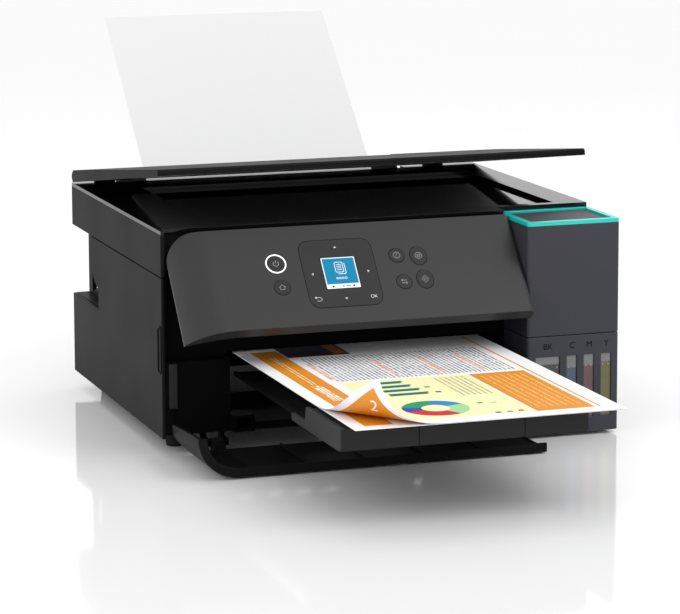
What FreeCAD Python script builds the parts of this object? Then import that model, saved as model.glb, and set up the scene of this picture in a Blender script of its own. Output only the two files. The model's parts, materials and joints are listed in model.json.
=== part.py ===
import FreeCAD, Part
import math
import os

# Inkjet printer with ink tanks, a flat-bed scanner and a rear sheet feeder.
# Millimetres. X runs to the right seen from the front, Y to the back, Z up.
# Inside this file Y = 0 is the front face of the casing and Z = 0 is the table;
# save() moves every piece so that the origin is under the middle of the footprint.

# overall body
half_width = 187.5
body_depth = 286.0
tank_front = -39.0
feeder_back = 308.0
footprint_mid = (tank_front + feeder_back) / 2
casing_bottom = 14.5
pan_top = 17.5
base_top = 143.5
scanner_bottom = 144.5
bezel_bottom = 178.0
bezel_top = 181.0
wall = 2.5
gap = 0.5

# ink tank unit at the front right corner
tank_left = 107.0
tank_back = 27.0
tank_bottom = 3.0
tank_part_line = 84.0
tank_top = 177.8
window_low = 15.4
window_high = 67.0
window_spans = [(114.5, 135.5), (141.7, 150.5), (156.8, 165.6), (171.9, 180.7)]
tank_spans = [(112.0, 138.2), (139.4, 152.6), (154.0, 167.6), (169.0, 183.0)]
tank_height = 100.0
ring_width = 5.0
ring_height = 3.4

# control panel: its tilt at rest, and its hinge line
panel_tilt = 39.4
panel_pivot_y = 8.0
panel_pivot_z = 172.0
panel_left = -184.0
panel_right = 106.3
panel_face_y = -2.9
panel_top_z = 172.7
panel_low_z = 82.7
panel_depth = 12.0
panel_skin = 2.5
panel_bend_x = -150.0
panel_bend_radius = 63.3
panel_dip = 5.0
panel_corner = 22.0
pivot_radius = 2.0
running_gap = 0.06
arm_left_x = -158.0
arm_right_x = 98.5
arm_width = 4.0
arm_radius = 4.5

# buttons and display on the panel, measured from the panel's top edge downwards
display_x = -48.5
display_s = 44.8
display_size = 28.0
pad_half = 30.4
pad_corner = 9.0
key_travel = 1.0
key_depth = 3.0
key_gap = 0.35

# glass and document lid
glass_left = -138.0
glass_right = 161.0
glass_front = 37.0
glass_back = 236.0
lid_open_angle = 8.7
lid_pivot_y = 282.0
lid_pivot_z = 184.4
lid_front = 4.0
lid_right_front = 30.0
lid_back = 286.0
lid_under = 181.8
lid_front_thick = 5.2
lid_back_thick = 10.4
lid_skin = 2.4
lid_step_x = 106.0
hinge_knuckle_x = [-168.0, 138.0]
hinge_knuckle_width = 18.0

# sheet path
sheet_width = 210.0
sheet_length = 297.0
feed_centre_x = -14.0
feed_top_y = 427.1
feed_top_z = 311.2
feed_angle = 44.0
exit_centre_x = -20.0
exit_front_y = -281.0
exit_z = 77.6

# output tray
tray_left = -129.5
tray_right = 62.5
tray_lip_y = -262.0
tray_lip_low = 58.7
tray_lip_high = 75.1
tray_rail_top = 63.8

# front cover, shown open
cover_hinge_y = 2.0
cover_hinge_z = 9.0
cover_front_y = -88.0
cover_barrel_x = [-148.0, 84.0]
cover_right = 104.0
cover_low = 1.5
cover_bend_x = -152.0
cover_curl = 32.0

# opening in the front frame
mouth_left = -131.5
mouth_right = 104.5
mouth_low = 18.0
mouth_high = 80.5
mouth_recess_y = 10.5

# rollers and gears in the paper path
gear_module = 1.0
feed_teeth = 40
idler_teeth = 70
eject_teeth = 30
roller_z = 70.0
eject_y = 42.0
gear_x = -152.0
gear_width = 5.0

axis_x = FreeCAD.Vector(1, 0, 0)
axis_y = FreeCAD.Vector(0, 1, 0)
axis_z = FreeCAD.Vector(0, 0, 1)


def vec(x, y, z):
    return FreeCAD.Vector(x, y, z)


def block(x0, x1, y0, y1, z0, z1):
    return Part.makeBox(x1 - x0, y1 - y0, z1 - z0, vec(x0, y0, z0))


def rod_x(x0, x1, y, z, radius):
    return Part.makeCylinder(radius, x1 - x0, vec(x0, y, z), axis_x)


def rod_y(x, y0, y1, z, radius):
    return Part.makeCylinder(radius, y1 - y0, vec(x, y0, z), axis_y)


def rod_z(x, y, z0, z1, radius):
    return Part.makeCylinder(radius, z1 - z0, vec(x, y, z0), axis_z)


def prism_x(points, x0, x1):
    # points are (y, z) pairs
    corners = [vec(x0, y, z) for y, z in points]
    face = Part.Face(Part.makePolygon(corners + corners[:1]))
    return face.extrude(vec(x1 - x0, 0, 0))


def prism_y(points, y0, y1):
    # points are (x, z) pairs
    corners = [vec(x, y0, z) for x, z in points]
    face = Part.Face(Part.makePolygon(corners + corners[:1]))
    return face.extrude(vec(0, y1 - y0, 0))


def prism_z(points, z0, z1):
    # points are (x, y) pairs
    corners = [vec(x, y, z0) for x, y in points]
    face = Part.Face(Part.makePolygon(corners + corners[:1]))
    return face.extrude(vec(0, 0, z1 - z0))


def join(shapes):
    whole = shapes[0]
    if len(shapes) > 1:
        whole = whole.fuse(shapes[1:])
    return whole.removeSplitter()


def rounded(shape, radius, pick):
    edges = [edge for edge in shape.Edges if pick(edge)]
    return shape.makeFillet(radius, edges)


def along(edge, direction):
    if len(edge.Vertexes) < 2:
        return False
    run = edge.Vertexes[1].Point - edge.Vertexes[0].Point
    straight = edge.Curve.TypeId == "Part::GeomLine"
    return straight and run.Length > 1e-6 and abs(run.normalize().dot(direction)) > 0.999


def save(name, shape):
    piece = shape.copy()
    piece.translate(vec(0, -footprint_mid, 0))
    if not piece.isValid():
        print("not valid:", name)
    piece.exportStep(os.path.join("parts", name + ".step"))
    box = piece.BoundBox
    print("%-22s solids %d  x %.1f..%.1f  y %.1f..%.1f  z %.1f..%.1f" % (
        name, len(piece.Solids), box.XMin, box.XMax, box.YMin, box.YMax, box.ZMin, box.ZMax))


# casing ----------------------------------------------------------------

notch_front = 222.0
shoulder_z = 84.0
scoop_front = 199.0
scoop_top = 101.0


def side_wall(x0, x1, front, z_low):
    points = [(front, z_low), (body_depth, z_low), (body_depth, shoulder_z),
              (scoop_front, shoulder_z), (scoop_front, scoop_top), (notch_front - 12, scoop_top + 4),
              (notch_front - 3, scoop_top + 12), (notch_front, base_top - 4),
              (notch_front, base_top), (front, base_top)]
    return prism_x(points, x0, x1)


def left_side_casing():
    plate = side_wall(-half_width, -half_width + 3, 0, casing_bottom)
    return rounded(plate, 1.2, lambda e: along(e, axis_z) and e.Vertexes[0].Point.y < 0.1
                   and e.Vertexes[0].Point.x < -half_width + 0.1)


def right_side_casing():
    plate = side_wall(half_width - 3, half_width, tank_back + gap, casing_bottom)
    return rounded(plate, 1.2, lambda e: along(e, axis_x) and e.Vertexes[0].Point.z < casing_bottom + 0.1
                   and e.Vertexes[0].Point.y > body_depth - 1)


def base_pan():
    left = -half_width + 3 + 0.2
    right = half_width - 3 - 0.2
    front = mouth_recess_y
    floor = prism_z([(left, front), (tank_left - gap, front), (tank_left - gap, tank_back + gap),
                     (right, tank_back + gap), (right, body_depth - 3.2), (left, body_depth - 3.2)],
                    casing_bottom + 0.5, pan_top)
    ribs = []
    for y in (22.0, 186.0, 271.0):
        ribs.append(block(left + 56, right - 80, y, y + 2.0, pan_top - 0.5, pan_top + 3))
    lugs = cover_hinge_lugs()
    return join([floor] + ribs + lugs)


foot_radius = 9.0
foot_places = [(-166.0, 40.0), (166.0, 60.0), (-160.0, 268.0), (160.0, 268.0)]


def rubber_feet():
    feet = []
    for x, y in foot_places:
        foot = Part.makeCone(foot_radius - 1.5, foot_radius, casing_bottom + 0.5, vec(x, y, 0), axis_z)
        feet.append(foot)
    return Part.makeCompound(feet)


def rear_casing():
    x0 = -half_width + 3.2
    x1 = half_width - 3.2
    back = block(x0, x1, body_depth - 3, body_depth, casing_bottom + 0.5, shoulder_z)
    inset = 12.0
    outer = [(notch_front - 1, base_top), (notch_front - 1, scoop_top + 10), (notch_front + 8, scoop_top),
             (body_depth - 22, shoulder_z + 4), (body_depth, shoulder_z)]
    inner = [(y - wall, z - wall) for y, z in reversed(outer[:-1])]
    shoulder = prism_x(outer + [(body_depth, shoulder_z - wall)] + inner, x0 + inset, x1 - inset)
    ledge = block(x0, x1, scoop_front, body_depth, shoulder_z - wall, shoulder_z)
    cheeks = []
    for side in (x0 + inset - 2.4, x1 - inset):
        cheeks.append(prism_x([(notch_front - 22, shoulder_z - 1)] + [(notch_front - 22, base_top)]
                              + outer + [(body_depth, shoulder_z - 1)], side, side + 2.4))
    shell = join([back, shoulder, ledge] + cheeks)
    chute_room = block(feed_left - 6, feed_right + 6, notch_front - 30, body_depth + 1, 80, base_top + 5)
    inlet_room = block(inlet_x - 12.3, inlet_x + 12.3, body_depth - 5, body_depth + 1, 25.7, 46.3)
    port_room = block(port_x - 6.5, port_x + 6.5, body_depth - 5, body_depth + 1, 30, 42)
    shell = shell.cut(chute_room).cut(inlet_room).cut(port_room)
    ears = []
    for x in ear_places:
        ear = rod_x(x, x + 4, lift_pivot_y, lift_pivot_z, 4.5)
        stem = block(x, x + 4, body_depth + 0.6, lift_pivot_y + 4.5, shoulder_z - 6, lift_pivot_z)
        root = block(x, x + 4, body_depth - 3, lift_pivot_y + 4.5, shoulder_z - 6, shoulder_z - 1)
        ears.append(join([ear, stem, root]).cut(rod_x(x - 1, x + 5, lift_pivot_y, lift_pivot_z, pivot_radius)))
    return join([shell] + ears)


def front_frame():
    left = -half_width + 3.2
    step = panel_low_z - panel_dip - 1.7
    pillar = block(left, mouth_left, 0.4, 3.4, mouth_low, step)
    pillar_roof = block(left, mouth_left, 0.4, mouth_recess_y + 3, step - 2.5, step)
    upper = block(left, tank_left - gap, mouth_recess_y, mouth_recess_y + 3, step - 2.5, base_top - 1)
    mouth_top = block(mouth_left, mouth_right, mouth_recess_y, mouth_recess_y + 22, mouth_high, mouth_high + 3)
    mouth_cut = block(mouth_left, mouth_right, mouth_recess_y - 1, mouth_recess_y + 4, 0, mouth_high)
    left_front = block(mouth_left - 3, mouth_left, 0.4, 60, mouth_low, step)
    left_return = block(mouth_left - 3, mouth_left, mouth_recess_y, 60, step - 1, mouth_high + 3)
    right_return = block(mouth_right, mouth_right + 2, mouth_recess_y, 60, mouth_low, mouth_high + 3)
    foot_left = block(left, mouth_left, 0.4, mouth_recess_y + 3, mouth_low - 0.4, mouth_low + 2)
    bracket = block(mouth_left, mouth_left + 18, -8, 14, mouth_low - 0.4, mouth_low + 13)
    bracket_room = block(mouth_left + 3, mouth_left + 15.5, -9, 11, mouth_low + 2.5, mouth_low + 10.5)
    shelf = block(mouth_left + 18, mouth_left + 66, -2, 14, mouth_low - 0.4, mouth_low + 6)
    strip = block(left + 0.2, left + 7, -0.6, 0.6, mouth_low + 8, step - 1)
    whole = join([pillar, pillar_roof, upper.cut(mouth_cut), mouth_top, left_front, left_return, right_return,
                  foot_left, bracket.cut(bracket_room), shelf, strip])
    arms = []
    for x in (arm_left_x, arm_right_x):
        head = rod_x(x, x + arm_width, panel_pivot_y, panel_pivot_z, arm_radius)
        stem = block(x, x + arm_width, panel_pivot_y + 1.6, mouth_recess_y + 2.2, base_top - 8, panel_pivot_z)
        bore = rod_x(x - 1, x + arm_width + 1, panel_pivot_y, panel_pivot_z, pivot_radius + running_gap)
        arms.append(join([head, stem]).cut(bore))
    roller_hole = rod_x(mouth_left - 4, mouth_left + 1, eject_y, roller_z, 3.2)
    platen_room = block(mouth_left - 4, mouth_right + 3, 51.5, 61, 69, 73)
    return join([whole.cut(roller_hole).cut(platen_room)] + arms)


def casing_screws():
    screws = []
    for x in (-150.0, 150.0):
        for z in (28.0, 74.0):
            head = rod_y(x, body_depth, body_depth + 1.6, z, 3.4)
            shank = rod_y(x, body_depth - 3, body_depth + 0.5, z, 1.45)
            slot_a = block(x - 2.2, x + 2.2, body_depth + 0.6, body_depth + 2, z - 0.5, z + 0.5)
            slot_b = block(x - 0.5, x + 0.5, body_depth + 0.6, body_depth + 2, z - 2.2, z + 2.2)
            screws.append(join([head, shank]).cut(slot_a).cut(slot_b))
    return Part.makeCompound(screws)


def screw_holes(shape):
    for x in (-150.0, 150.0):
        for z in (28.0, 74.0):
            shape = shape.cut(rod_y(x, body_depth - 4, body_depth + 1, z, 1.5))
    return shape


# print mechanism -------------------------------------------------------

rail_y = 96.0
rail_z = 122.0
rail_radius = 4.0
frame_y = 137.0
belt_y = 121.0
belt_z = 128.0
pulley_radius = 6.0
pulley_left_x = -167.0
pulley_right_x = 172.0
belt_thick = 1.0
carriage_x = 146.0
carriage_half = 27.0


def carriage_frame():
    plate = block(-182, 182, frame_y, frame_y + 1.5, pan_top, 141)
    window = block(-135, 125, frame_y - 1, frame_y + 3, 40, 95)
    gear_room = block(-162, -136, frame_y - 1, frame_y + 3, 0, 95)
    shelf = block(-182, 182, frame_y - 6, frame_y + 1, 139.5, 141)
    ends = []
    for x in (-183.0, 181.5):
        end = block(x, x + 1.5, 64, frame_y + 1.5, 96, 141)
        ends.append(end)
    foot_left = block(-182, -162, frame_y, frame_y + 18, pan_top, pan_top + 1.5)
    foot_right = block(150, 182, frame_y, frame_y + 18, pan_top, pan_top + 1.5)
    whole = join([plate.cut(window).cut(gear_room), shelf, foot_left, foot_right, idler_bracket()] + ends)
    return whole.cut(rod_x(-190, 190, rail_y, rail_z, rail_radius))


def carriage_rail():
    return rod_x(-183.0, 183.0, rail_y, rail_z, rail_radius)


def print_carriage():
    x0 = carriage_x - carriage_half
    x1 = carriage_x + carriage_half
    body = block(x0, x1, 58, 108, 84, 116)
    bearing = block(x0, x1, rail_y - 10, rail_y + 10, 112, 131)
    body = rounded(body, 4, lambda e: along(e, axis_z))
    ports = []
    for k in range(4):
        ports.append(rod_z(x0 + 12 + 10 * k, 68, 116, 121, 3.2))
    clip = block(carriage_x - 10, carriage_x + 10, 104, belt_y - pulley_radius - belt_thick - 0.4, 124, 131)
    whole = join([body, bearing, clip] + ports)
    return whole.cut(rod_x(x0 - 1, x1 + 1, rail_y, rail_z, rail_radius + running_gap))


def print_head():
    x0 = carriage_x - 18
    x1 = carriage_x + 18
    plate = block(x0, x1, 66, 92, 80.6, 84)
    nose = block(x0 + 4, x1 - 4, 70, 88, 79.6, 81)
    return join([plate, nose])


def pulley(x):
    drum = rod_z(x, belt_y, belt_z - 0.6, belt_z + 4.6, pulley_radius - 0.05)
    lower = rod_z(x, belt_y, belt_z - 1.6, belt_z - 0.5, pulley_radius + 1.6)
    upper = rod_z(x, belt_y, belt_z + 4.5, belt_z + 5.6, pulley_radius + 1.6)
    hub = join([drum, lower, upper])
    bore = rod_z(x, belt_y, belt_z - 3, belt_z + 8, 1.5 + running_gap)
    flat = block(x + 2.6, x + 4.2, belt_y - 1, belt_y + 1, belt_z + 4.0, belt_z + 7)
    return hub.cut(bore).cut(flat)


def carriage_belt():
    def loop(radius):
        straight = block(pulley_left_x, pulley_right_x, belt_y - radius, belt_y + radius, belt_z, belt_z + 4)
        ends = [rod_z(x, belt_y, belt_z, belt_z + 4, radius) for x in (pulley_left_x, pulley_right_x)]
        return join([straight] + ends)
    return loop(pulley_radius + belt_thick).cut(loop(pulley_radius))


def carriage_motor():
    can = rod_z(pulley_left_x, belt_y, 92, 124, 12)
    shaft = rod_z(pulley_left_x, belt_y, 124, belt_z + 7, 1.5)
    flange = block(pulley_left_x - 14, pulley_left_x + 14, belt_y - 12, frame_y, 122, 124)
    return join([can, shaft, flange])


def idler_bracket():
    plate = block(pulley_right_x - 9, pulley_right_x + 9, belt_y - 9, frame_y, 122, 124)
    post = rod_z(pulley_right_x, belt_y, 123, belt_z + 7, 1.5)
    return join([plate, post])


def platen():
    deck = block(-134, 112, 52, 118, 70, 72.4)
    ribs = []
    for k in range(16):
        x = -124 + 15 * k
        ribs.append(block(x, x + 1.6, 54, 116, 72, 75.4))
    legs = []
    for x in (-134.0, 108.0):
        legs.append(block(x, x + 3, 61, 112, pan_top, 71))
    return join([deck] + ribs + legs)


def capping_station():
    body = block(122, 170, 60, 100, 58, 74)
    cap = block(130, 162, 67, 91, 73, 78.8)
    cap_room = block(132, 160, 69, 89, 76, 80)
    leg = block(140, 152, 70, 90, pan_top, 59)
    return join([body, cap, leg]).cut(cap_room)


def gear_outline(teeth):
    # straight-flanked teeth, slim enough to run with backlash
    pitch_radius = gear_module * teeth / 2
    root = pitch_radius - 1.3 * gear_module
    tip = pitch_radius + 0.85 * gear_module
    step = 2 * math.pi / teeth
    half_root = 0.30 * step
    half_tip = 0.11 * step
    points = []
    for k in range(teeth):
        middle = k * step
        for radius, offset in ((root, -half_root), (tip, -half_tip), (tip, half_tip), (root, half_root)):
            points.append((radius * math.cos(middle + offset), radius * math.sin(middle + offset)))
    return points


def gear(teeth, y, z, turn, bore):
    points = gear_outline(teeth)
    c = math.cos(math.radians(turn))
    s = math.sin(math.radians(turn))
    placed = [(y + a * c - b * s, z + a * s + b * c) for a, b in points]
    wheel = prism_x(placed, gear_x, gear_x + gear_width)
    hub = rod_x(gear_x - 1.5, gear_x + gear_width + 1.5, y, z, bore + 3)
    lightening = []
    ring = (gear_module * teeth / 2 + bore) / 2 + 1
    for k in range(6):
        a = math.radians(60 * k + 30)
        lightening.append(rod_x(gear_x - 1, gear_x + gear_width + 1, y + ring * math.cos(a),
                                z + ring * math.sin(a), teeth * 0.075))
    wheel = wheel.cut(Part.makeCompound(lightening))
    return join([wheel, hub]).cut(rod_x(gear_x - 3, gear_x + gear_width + 3, y, z, bore))


idler_y = eject_y + gear_module * (eject_teeth + idler_teeth) / 2
feed_y = idler_y + gear_module * (idler_teeth + feed_teeth) / 2


def feed_roller():
    shaft = rod_x(-158, 122, feed_y, roller_z, 3.0)
    grip = rod_x(-130, 100, feed_y, roller_z, 5.2)
    return join([shaft, grip])


def eject_roller():
    shaft = rod_x(-158, 102, eject_y, roller_z, 2.4)
    wheels = [rod_x(x, x + 8, eject_y, roller_z, 5.6) for x in range(-120, 90, 34)]
    return join([shaft] + wheels)


def feed_gear():
    return gear(feed_teeth, feed_y, roller_z, 0, 3.0)


def eject_gear():
    return gear(eject_teeth, eject_y, roller_z, 0, 2.4)


def idler_gear():
    # turned by half a tooth, so that a gap faces each neighbour's tooth
    turn = 180.0 / idler_teeth
    return gear(idler_teeth, idler_y, roller_z, turn, 3.0 + running_gap)


def gear_plate():
    plate = block(gear_x - 8, gear_x - 5, eject_y - 10, feed_y + 36, pan_top, roller_z + 12)
    boss_room = rod_x(gear_x - 9, gear_x - 4, feed_y + 18.7, roller_z - 18.7, 4.3)
    plate = plate.cut(boss_room)
    stud = rod_x(gear_x - 6, gear_x + gear_width + 3, idler_y, roller_z, 3.0)
    holes = [rod_x(gear_x - 9, gear_x - 4, feed_y, roller_z, 3.0 + running_gap),
             rod_x(gear_x - 9, gear_x - 4, eject_y, roller_z, 2.4 + running_gap)]
    whole = join([plate, stud])
    for hole in holes:
        whole = whole.cut(hole)
    return whole


def pickup_roller():
    y, z = feed_point(280, 13.4)
    shaft = rod_x(-130, 110, y, z, 2.5)
    tyre = rod_x(feed_centre_x - 18, feed_centre_x + 18, y, z, 12.0)
    rim = rod_x(feed_centre_x - 18.6, feed_centre_x + 18.6, y, z, 9.0)
    return join([shaft, tyre, rim])


def feed_motor():
    reach = gear_module * feed_teeth / 2 + 6.5
    y = feed_y + reach * math.cos(math.radians(45))
    z = roller_z - reach * math.sin(math.radians(45))
    can = rod_x(-181, gear_x - 8.2, y, z, 15)
    boss = rod_x(gear_x - 8.4, gear_x - 5.6, y, z, 4)
    shaft = rod_x(gear_x - 6, gear_x + gear_width, y, z, 1.2)
    return join([can, boss, shaft])


def main_board():
    board = block(-150, -20, 262, 263.6, 24, 78)
    chips = []
    for k in range(4):
        chips.append(block(-140 + 26 * k, -126 + 26 * k, 259.6, 262.2, 34 + 7 * k, 48 + 7 * k))
    caps = [rod_y(-40 + 9 * k, 252, 262.2, 66, 3.4) for k in range(2)]
    port = block(port_x - 6, port_x + 6, 263.4, body_depth - 0.4, 30.5, 41.5)
    port_hole = block(port_x - 4.2, port_x + 4.2, 270, body_depth + 1, 32.3, 39.7)
    legs = [block(-146, -142, 262, 268, pan_top, 24.5), block(-28, -24, 262, 268, pan_top, 24.5)]
    return join([board, port] + chips + caps + legs).cut(port_hole)


def power_supply():
    box = block(88, 176, 196, 262, pan_top, 66)
    hollow = block(90, 174, 198, 260, pan_top + 2, 64)
    vents = [block(96 + 8 * k, 100 + 8 * k, 205, 250, 60, 70) for k in range(9)]
    shell = box.cut(hollow)
    for vent in vents:
        shell = shell.cut(vent)
    return shell


inlet_x = 130.0
port_x = -60.0


def power_inlet():
    # two-pin appliance inlet with a figure-of-eight mouth
    body = block(inlet_x - 12, inlet_x + 12, 264, body_depth, 26, 46)
    flange = block(inlet_x - 15, inlet_x + 15, body_depth, body_depth + 1.6, 23.5, 48.5)
    mouth = join([rod_y(inlet_x - 4.3, 270, body_depth + 3, 36, 4.4),
                  rod_y(inlet_x + 4.3, 270, body_depth + 3, 36, 4.4),
                  block(inlet_x - 4.3, inlet_x + 4.3, 270, body_depth + 3, 32.6, 39.4)])
    pins = [rod_y(inlet_x + side * 4.3, 268, body_depth - 2, 36, 1.2) for side in (-1, 1)]
    return join([join([body, flange]).cut(mouth)] + pins)


# rear sheet feeder -----------------------------------------------------

feed_left = feed_centre_x - sheet_width / 2 - 22
feed_right = feed_centre_x + sheet_width / 2 + 22
chute_top = 179.0
chute_low = 288.0
support_top = 62.0
support_length = 122.0
guide_top = 202.0
guide_low = 246.0
lift_pivot_y = 294.0
lift_pivot_z = 170.0
ear_places = [-170.0, 152.0]


def feed_point(distance, height):
    # a point by its distance down the slope from the sheet's top edge, and its height off the sheet's back
    a = math.radians(feed_angle)
    y = feed_top_y - distance * math.cos(a) - height * math.sin(a)
    z = feed_top_z - distance * math.sin(a) + height * math.cos(a)
    return (y, z)


def slope_slab(x0, x1, top, low, under, over):
    corners = [feed_point(top, under), feed_point(top, over), feed_point(low, over), feed_point(low, under)]
    return prism_x(corners, x0, x1)


def rear_sheet():
    left = feed_centre_x - sheet_width / 2
    return slope_slab(left, left + sheet_width, 0, sheet_length, 0, 0.8)


def feeder_chute():
    slab = slope_slab(feed_left, feed_right, chute_top, chute_low, -3.2, -0.6)
    cheek_points = [feed_point(chute_low, -3.2), feed_point(chute_low, 8), feed_point(chute_top + 20, 4),
                    feed_point(chute_top, -0.6), (feeder_back, 180), (feeder_back, 100), (252, 100)]
    cheeks = [prism_x(cheek_points, x, x + 2.4) for x in (feed_left - 2.4, feed_right)]
    back = block(feed_left - 2.4, feed_right + 2.4, feeder_back - 2.4, feeder_back, 100, 180)
    floor = block(feed_left - 2.4, feed_right + 2.4, 262, feeder_back, 100, 102.4)
    whole = join([slab, back, floor] + cheeks)
    slots = slope_slab(feed_left + 20, feed_right - 20, guide_low - 14, guide_low - 6, -4, 0)
    for k in range(7):
        x = feed_left + 30 + 27 * k
        whole = whole.cut(block(x, x + 14, feeder_back - 3, feeder_back + 1, 118, 121))
        whole = whole.cut(block(x, x + 14, feeder_back - 3, feeder_back + 1, 128, 131))
    return whole.cut(slots)


def paper_support():
    left = feed_centre_x - 62
    right = feed_centre_x + 62
    slab = slope_slab(left, right, support_top, support_top + support_length, -6.2, -3.7)
    lip = slope_slab(left + 20, right - 20, support_top, support_top + 6, -6.2, -1.2)
    ribs = [slope_slab(x, x + 2, support_top + 6, support_top + support_length - 24, -8.2, -6.0)
            for x in (left + 14, feed_centre_x - 1, right - 16)]
    window = slope_slab(left + 26, right - 26, support_top + 16, support_top + 44, -7, -3)
    return join([slab.cut(window), lip] + ribs)


def edge_guide(side):
    edge = feed_centre_x + side * (sheet_width / 2 + 0.4)
    outer = edge + side * 2.2
    upright = slope_slab(min(edge, outer), max(edge, outer), guide_top, guide_low, -0.3, 9.5)
    far = outer + side * 12
    foot = slope_slab(min(outer, far), max(outer, far), guide_top + 6, guide_low - 4, -0.3, 1.2)
    tip = outer + side * 3
    grip = slope_slab(min(outer, tip), max(outer, tip), guide_top, guide_top + 8, 1, 7)
    return join([upright, foot, grip])


# scanner unit ----------------------------------------------------------

scan_bar_x = -120.0


def scanner_plan(inset, z0, z1):
    front = mouth_recess_y + 4.0
    x0 = -half_width + inset
    x1 = half_width - inset
    return prism_z([(x0, front + inset), (tank_left - gap - inset, front + inset),
                    (tank_left - gap - inset, tank_back + gap + 1 + inset), (x1, tank_back + gap + 1 + inset),
                    (x1, body_depth - inset), (x0, body_depth - inset)], z0, z1)


def sheet_room(over, top_z):
    # the sloping space that the rear sheets and their guides need behind the scanner
    low = feed_point(300, over)
    high = feed_point(160, over)
    points = [low, high, (high[0] + 60, high[1]), (high[0] + 60, low[1] - 20), (low[0], low[1] - 20)]
    room = prism_x(points, feed_left - 4, feed_right + 4)
    return room.common(block(-200, 200, 100, 500, 0, top_z))


def scanner_housing():
    outer = scanner_plan(0, scanner_bottom, bezel_bottom)
    inner = scanner_plan(wall, scanner_bottom + wall, bezel_bottom + 1)
    cheek = block(-half_width, -half_width + 3, 0.4, mouth_recess_y + 5, scanner_bottom, bezel_bottom)
    cheek = rounded(cheek, 1.2, lambda e: along(e, axis_z) and e.Vertexes[0].Point.y < 1
                    and e.Vertexes[0].Point.x < -half_width + 0.1)
    room = sheet_room(12.0, 250)
    inner_back = sheet_room(12.0 + wall, 250)
    shell = join([outer, cheek]).cut(inner.cut(inner_back)).cut(room)
    ledges = []
    for y0, y1 in ((glass_front - 6, glass_front - 3), (glass_back + 3, glass_back + 6)):
        ledges.append(block(-184.5, 100, y0, y1, scanner_bottom + 1, 175.8))
    ledges = [ledge.cut(room) for ledge in ledges]
    ears = []
    for x in ear_places:
        ear = rod_x(x + 4.4, x + 8.4, lift_pivot_y, lift_pivot_z, 4.5)
        arm = block(x + 4.4, x + 8.4, body_depth - 1, lift_pivot_y, lift_pivot_z - 4.5, lift_pivot_z + 4.5)
        pin = rod_x(x + 0.1, x + 4.5, lift_pivot_y, lift_pivot_z, pivot_radius - running_gap)
        ears.append(join([ear, arm, pin]))
    return join([shell] + ledges + ears)


def scanner_bezel():
    plate = scanner_plan(0, bezel_bottom, bezel_top)
    cheek = block(-half_width, -half_width + 3, 0.4, mouth_recess_y + 5, bezel_bottom, bezel_top)
    lip = block(-half_width + 3.4, tank_left - gap, mouth_recess_y + 1.0, mouth_recess_y + 5,
                bezel_bottom, bezel_top)
    window = block(glass_left, glass_right, glass_front, glass_back, bezel_bottom - 1, bezel_top + 1)
    room = sheet_room(12.0, 250)
    return join([plate, cheek, lip]).cut(window).cut(room)


def platen_glass():
    return block(glass_left - 4, glass_right + 4, glass_front - 2.6, glass_back + 2.4, 175.8, bezel_bottom)


def scan_bar():
    body = block(scan_bar_x - 11, scan_bar_x + 11, 44, 230, 156, 172)
    rollers = [rod_y(scan_bar_x, y, y + 6, 172.4, 2.2) for y in (48, 220)]
    slot = block(scan_bar_x - 4, scan_bar_x + 4, 54, 216, 170, 173)
    shoe = block(scan_bar_x - 14, scan_bar_x + 14, 130, 146, 152, 157)
    whole = join([body.cut(slot), shoe] + rollers)
    return whole.cut(rod_x(scan_bar_x - 20, scan_bar_x + 20, 138, 154.5, 2.5 + running_gap))


def scan_rail():
    rail = rod_x(-182, 182, 138, 154.5, 2.5)
    stays = [block(x, x + 3, 130, 146, scanner_bottom + wall, 158) for x in (-182.0, 179.0)]
    return join([rail] + stays)


def lid_profile(inset_front, drop, back):
    # side view of the closed lid, thicker towards its hinge
    top_front = lid_under + lid_front_thick - drop
    top_back = lid_under + lid_back_thick - drop
    return [(inset_front, lid_under), (inset_front, top_front - 1.5), (inset_front + 2, top_front),
            (lid_back - 60, top_back - 0.6), (back - 7, top_back), (back - 2.5, top_back - 2.5),
            (back, top_back - 5.6), (back - 3.4, lid_under)]


def closed_lid():
    left = prism_x(lid_profile(lid_front, 0, lid_back), -half_width, lid_step_x)
    right = prism_x(lid_profile(lid_right_front, -0.4, lid_back), lid_step_x - 0.01, half_width)
    body = join([left, right])
    hollow_left = prism_x([(y, z - (1 if k in (0, 7) else 0)) for k, (y, z) in enumerate(
        lid_profile(lid_front + 3, lid_skin, lid_back - 12))], -half_width + 3, lid_step_x - 4)
    hollow_right = prism_x([(y, z - (1 if k in (0, 7) else 0)) for k, (y, z) in enumerate(
        lid_profile(lid_right_front + 3, lid_skin - 0.4, lid_back - 12))], lid_step_x - 5, half_width - 3)
    body = body.cut(hollow_left).cut(hollow_right)
    for x in hinge_knuckle_x:
        body = body.cut(block(x - 0.6, x + hinge_knuckle_width + 0.6, lid_pivot_y - 5, lid_back + 1,
                              lid_under - 1, lid_pivot_z + 4.4))
        body = body.fuse(rod_x(x - 4, x + hinge_knuckle_width + 4, lid_pivot_y, lid_pivot_z, 1.2))
    return body.removeSplitter()


def scanner_lid():
    return tilt_lid(closed_lid())


def document_mat():
    left = block(glass_left - 8, 99, glass_front - 8, glass_back + 8, lid_under + 0.3, lid_under + 1.6)
    right = block(98, glass_right + 8, glass_front + 1, glass_back + 8, lid_under + 0.3, lid_under + 1.6)
    mat = join([left, right])
    mat = rounded(mat, 4, lambda e: along(e, axis_z))
    return tilt_lid(mat)


def lid_hinges():
    knuckles = []
    for x in hinge_knuckle_x:
        barrel = rod_x(x, x + hinge_knuckle_width, lid_pivot_y, lid_pivot_z, 2.8)
        base = block(x, x + hinge_knuckle_width, lid_pivot_y - 2.8, lid_pivot_y + 2.8, bezel_top, lid_pivot_z)
        bore = rod_x(x - 1, x + hinge_knuckle_width + 1, lid_pivot_y, lid_pivot_z, 1.2 + running_gap)
        knuckles.append(join([barrel, base]).cut(bore))
    return Part.makeCompound(knuckles)


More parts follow.
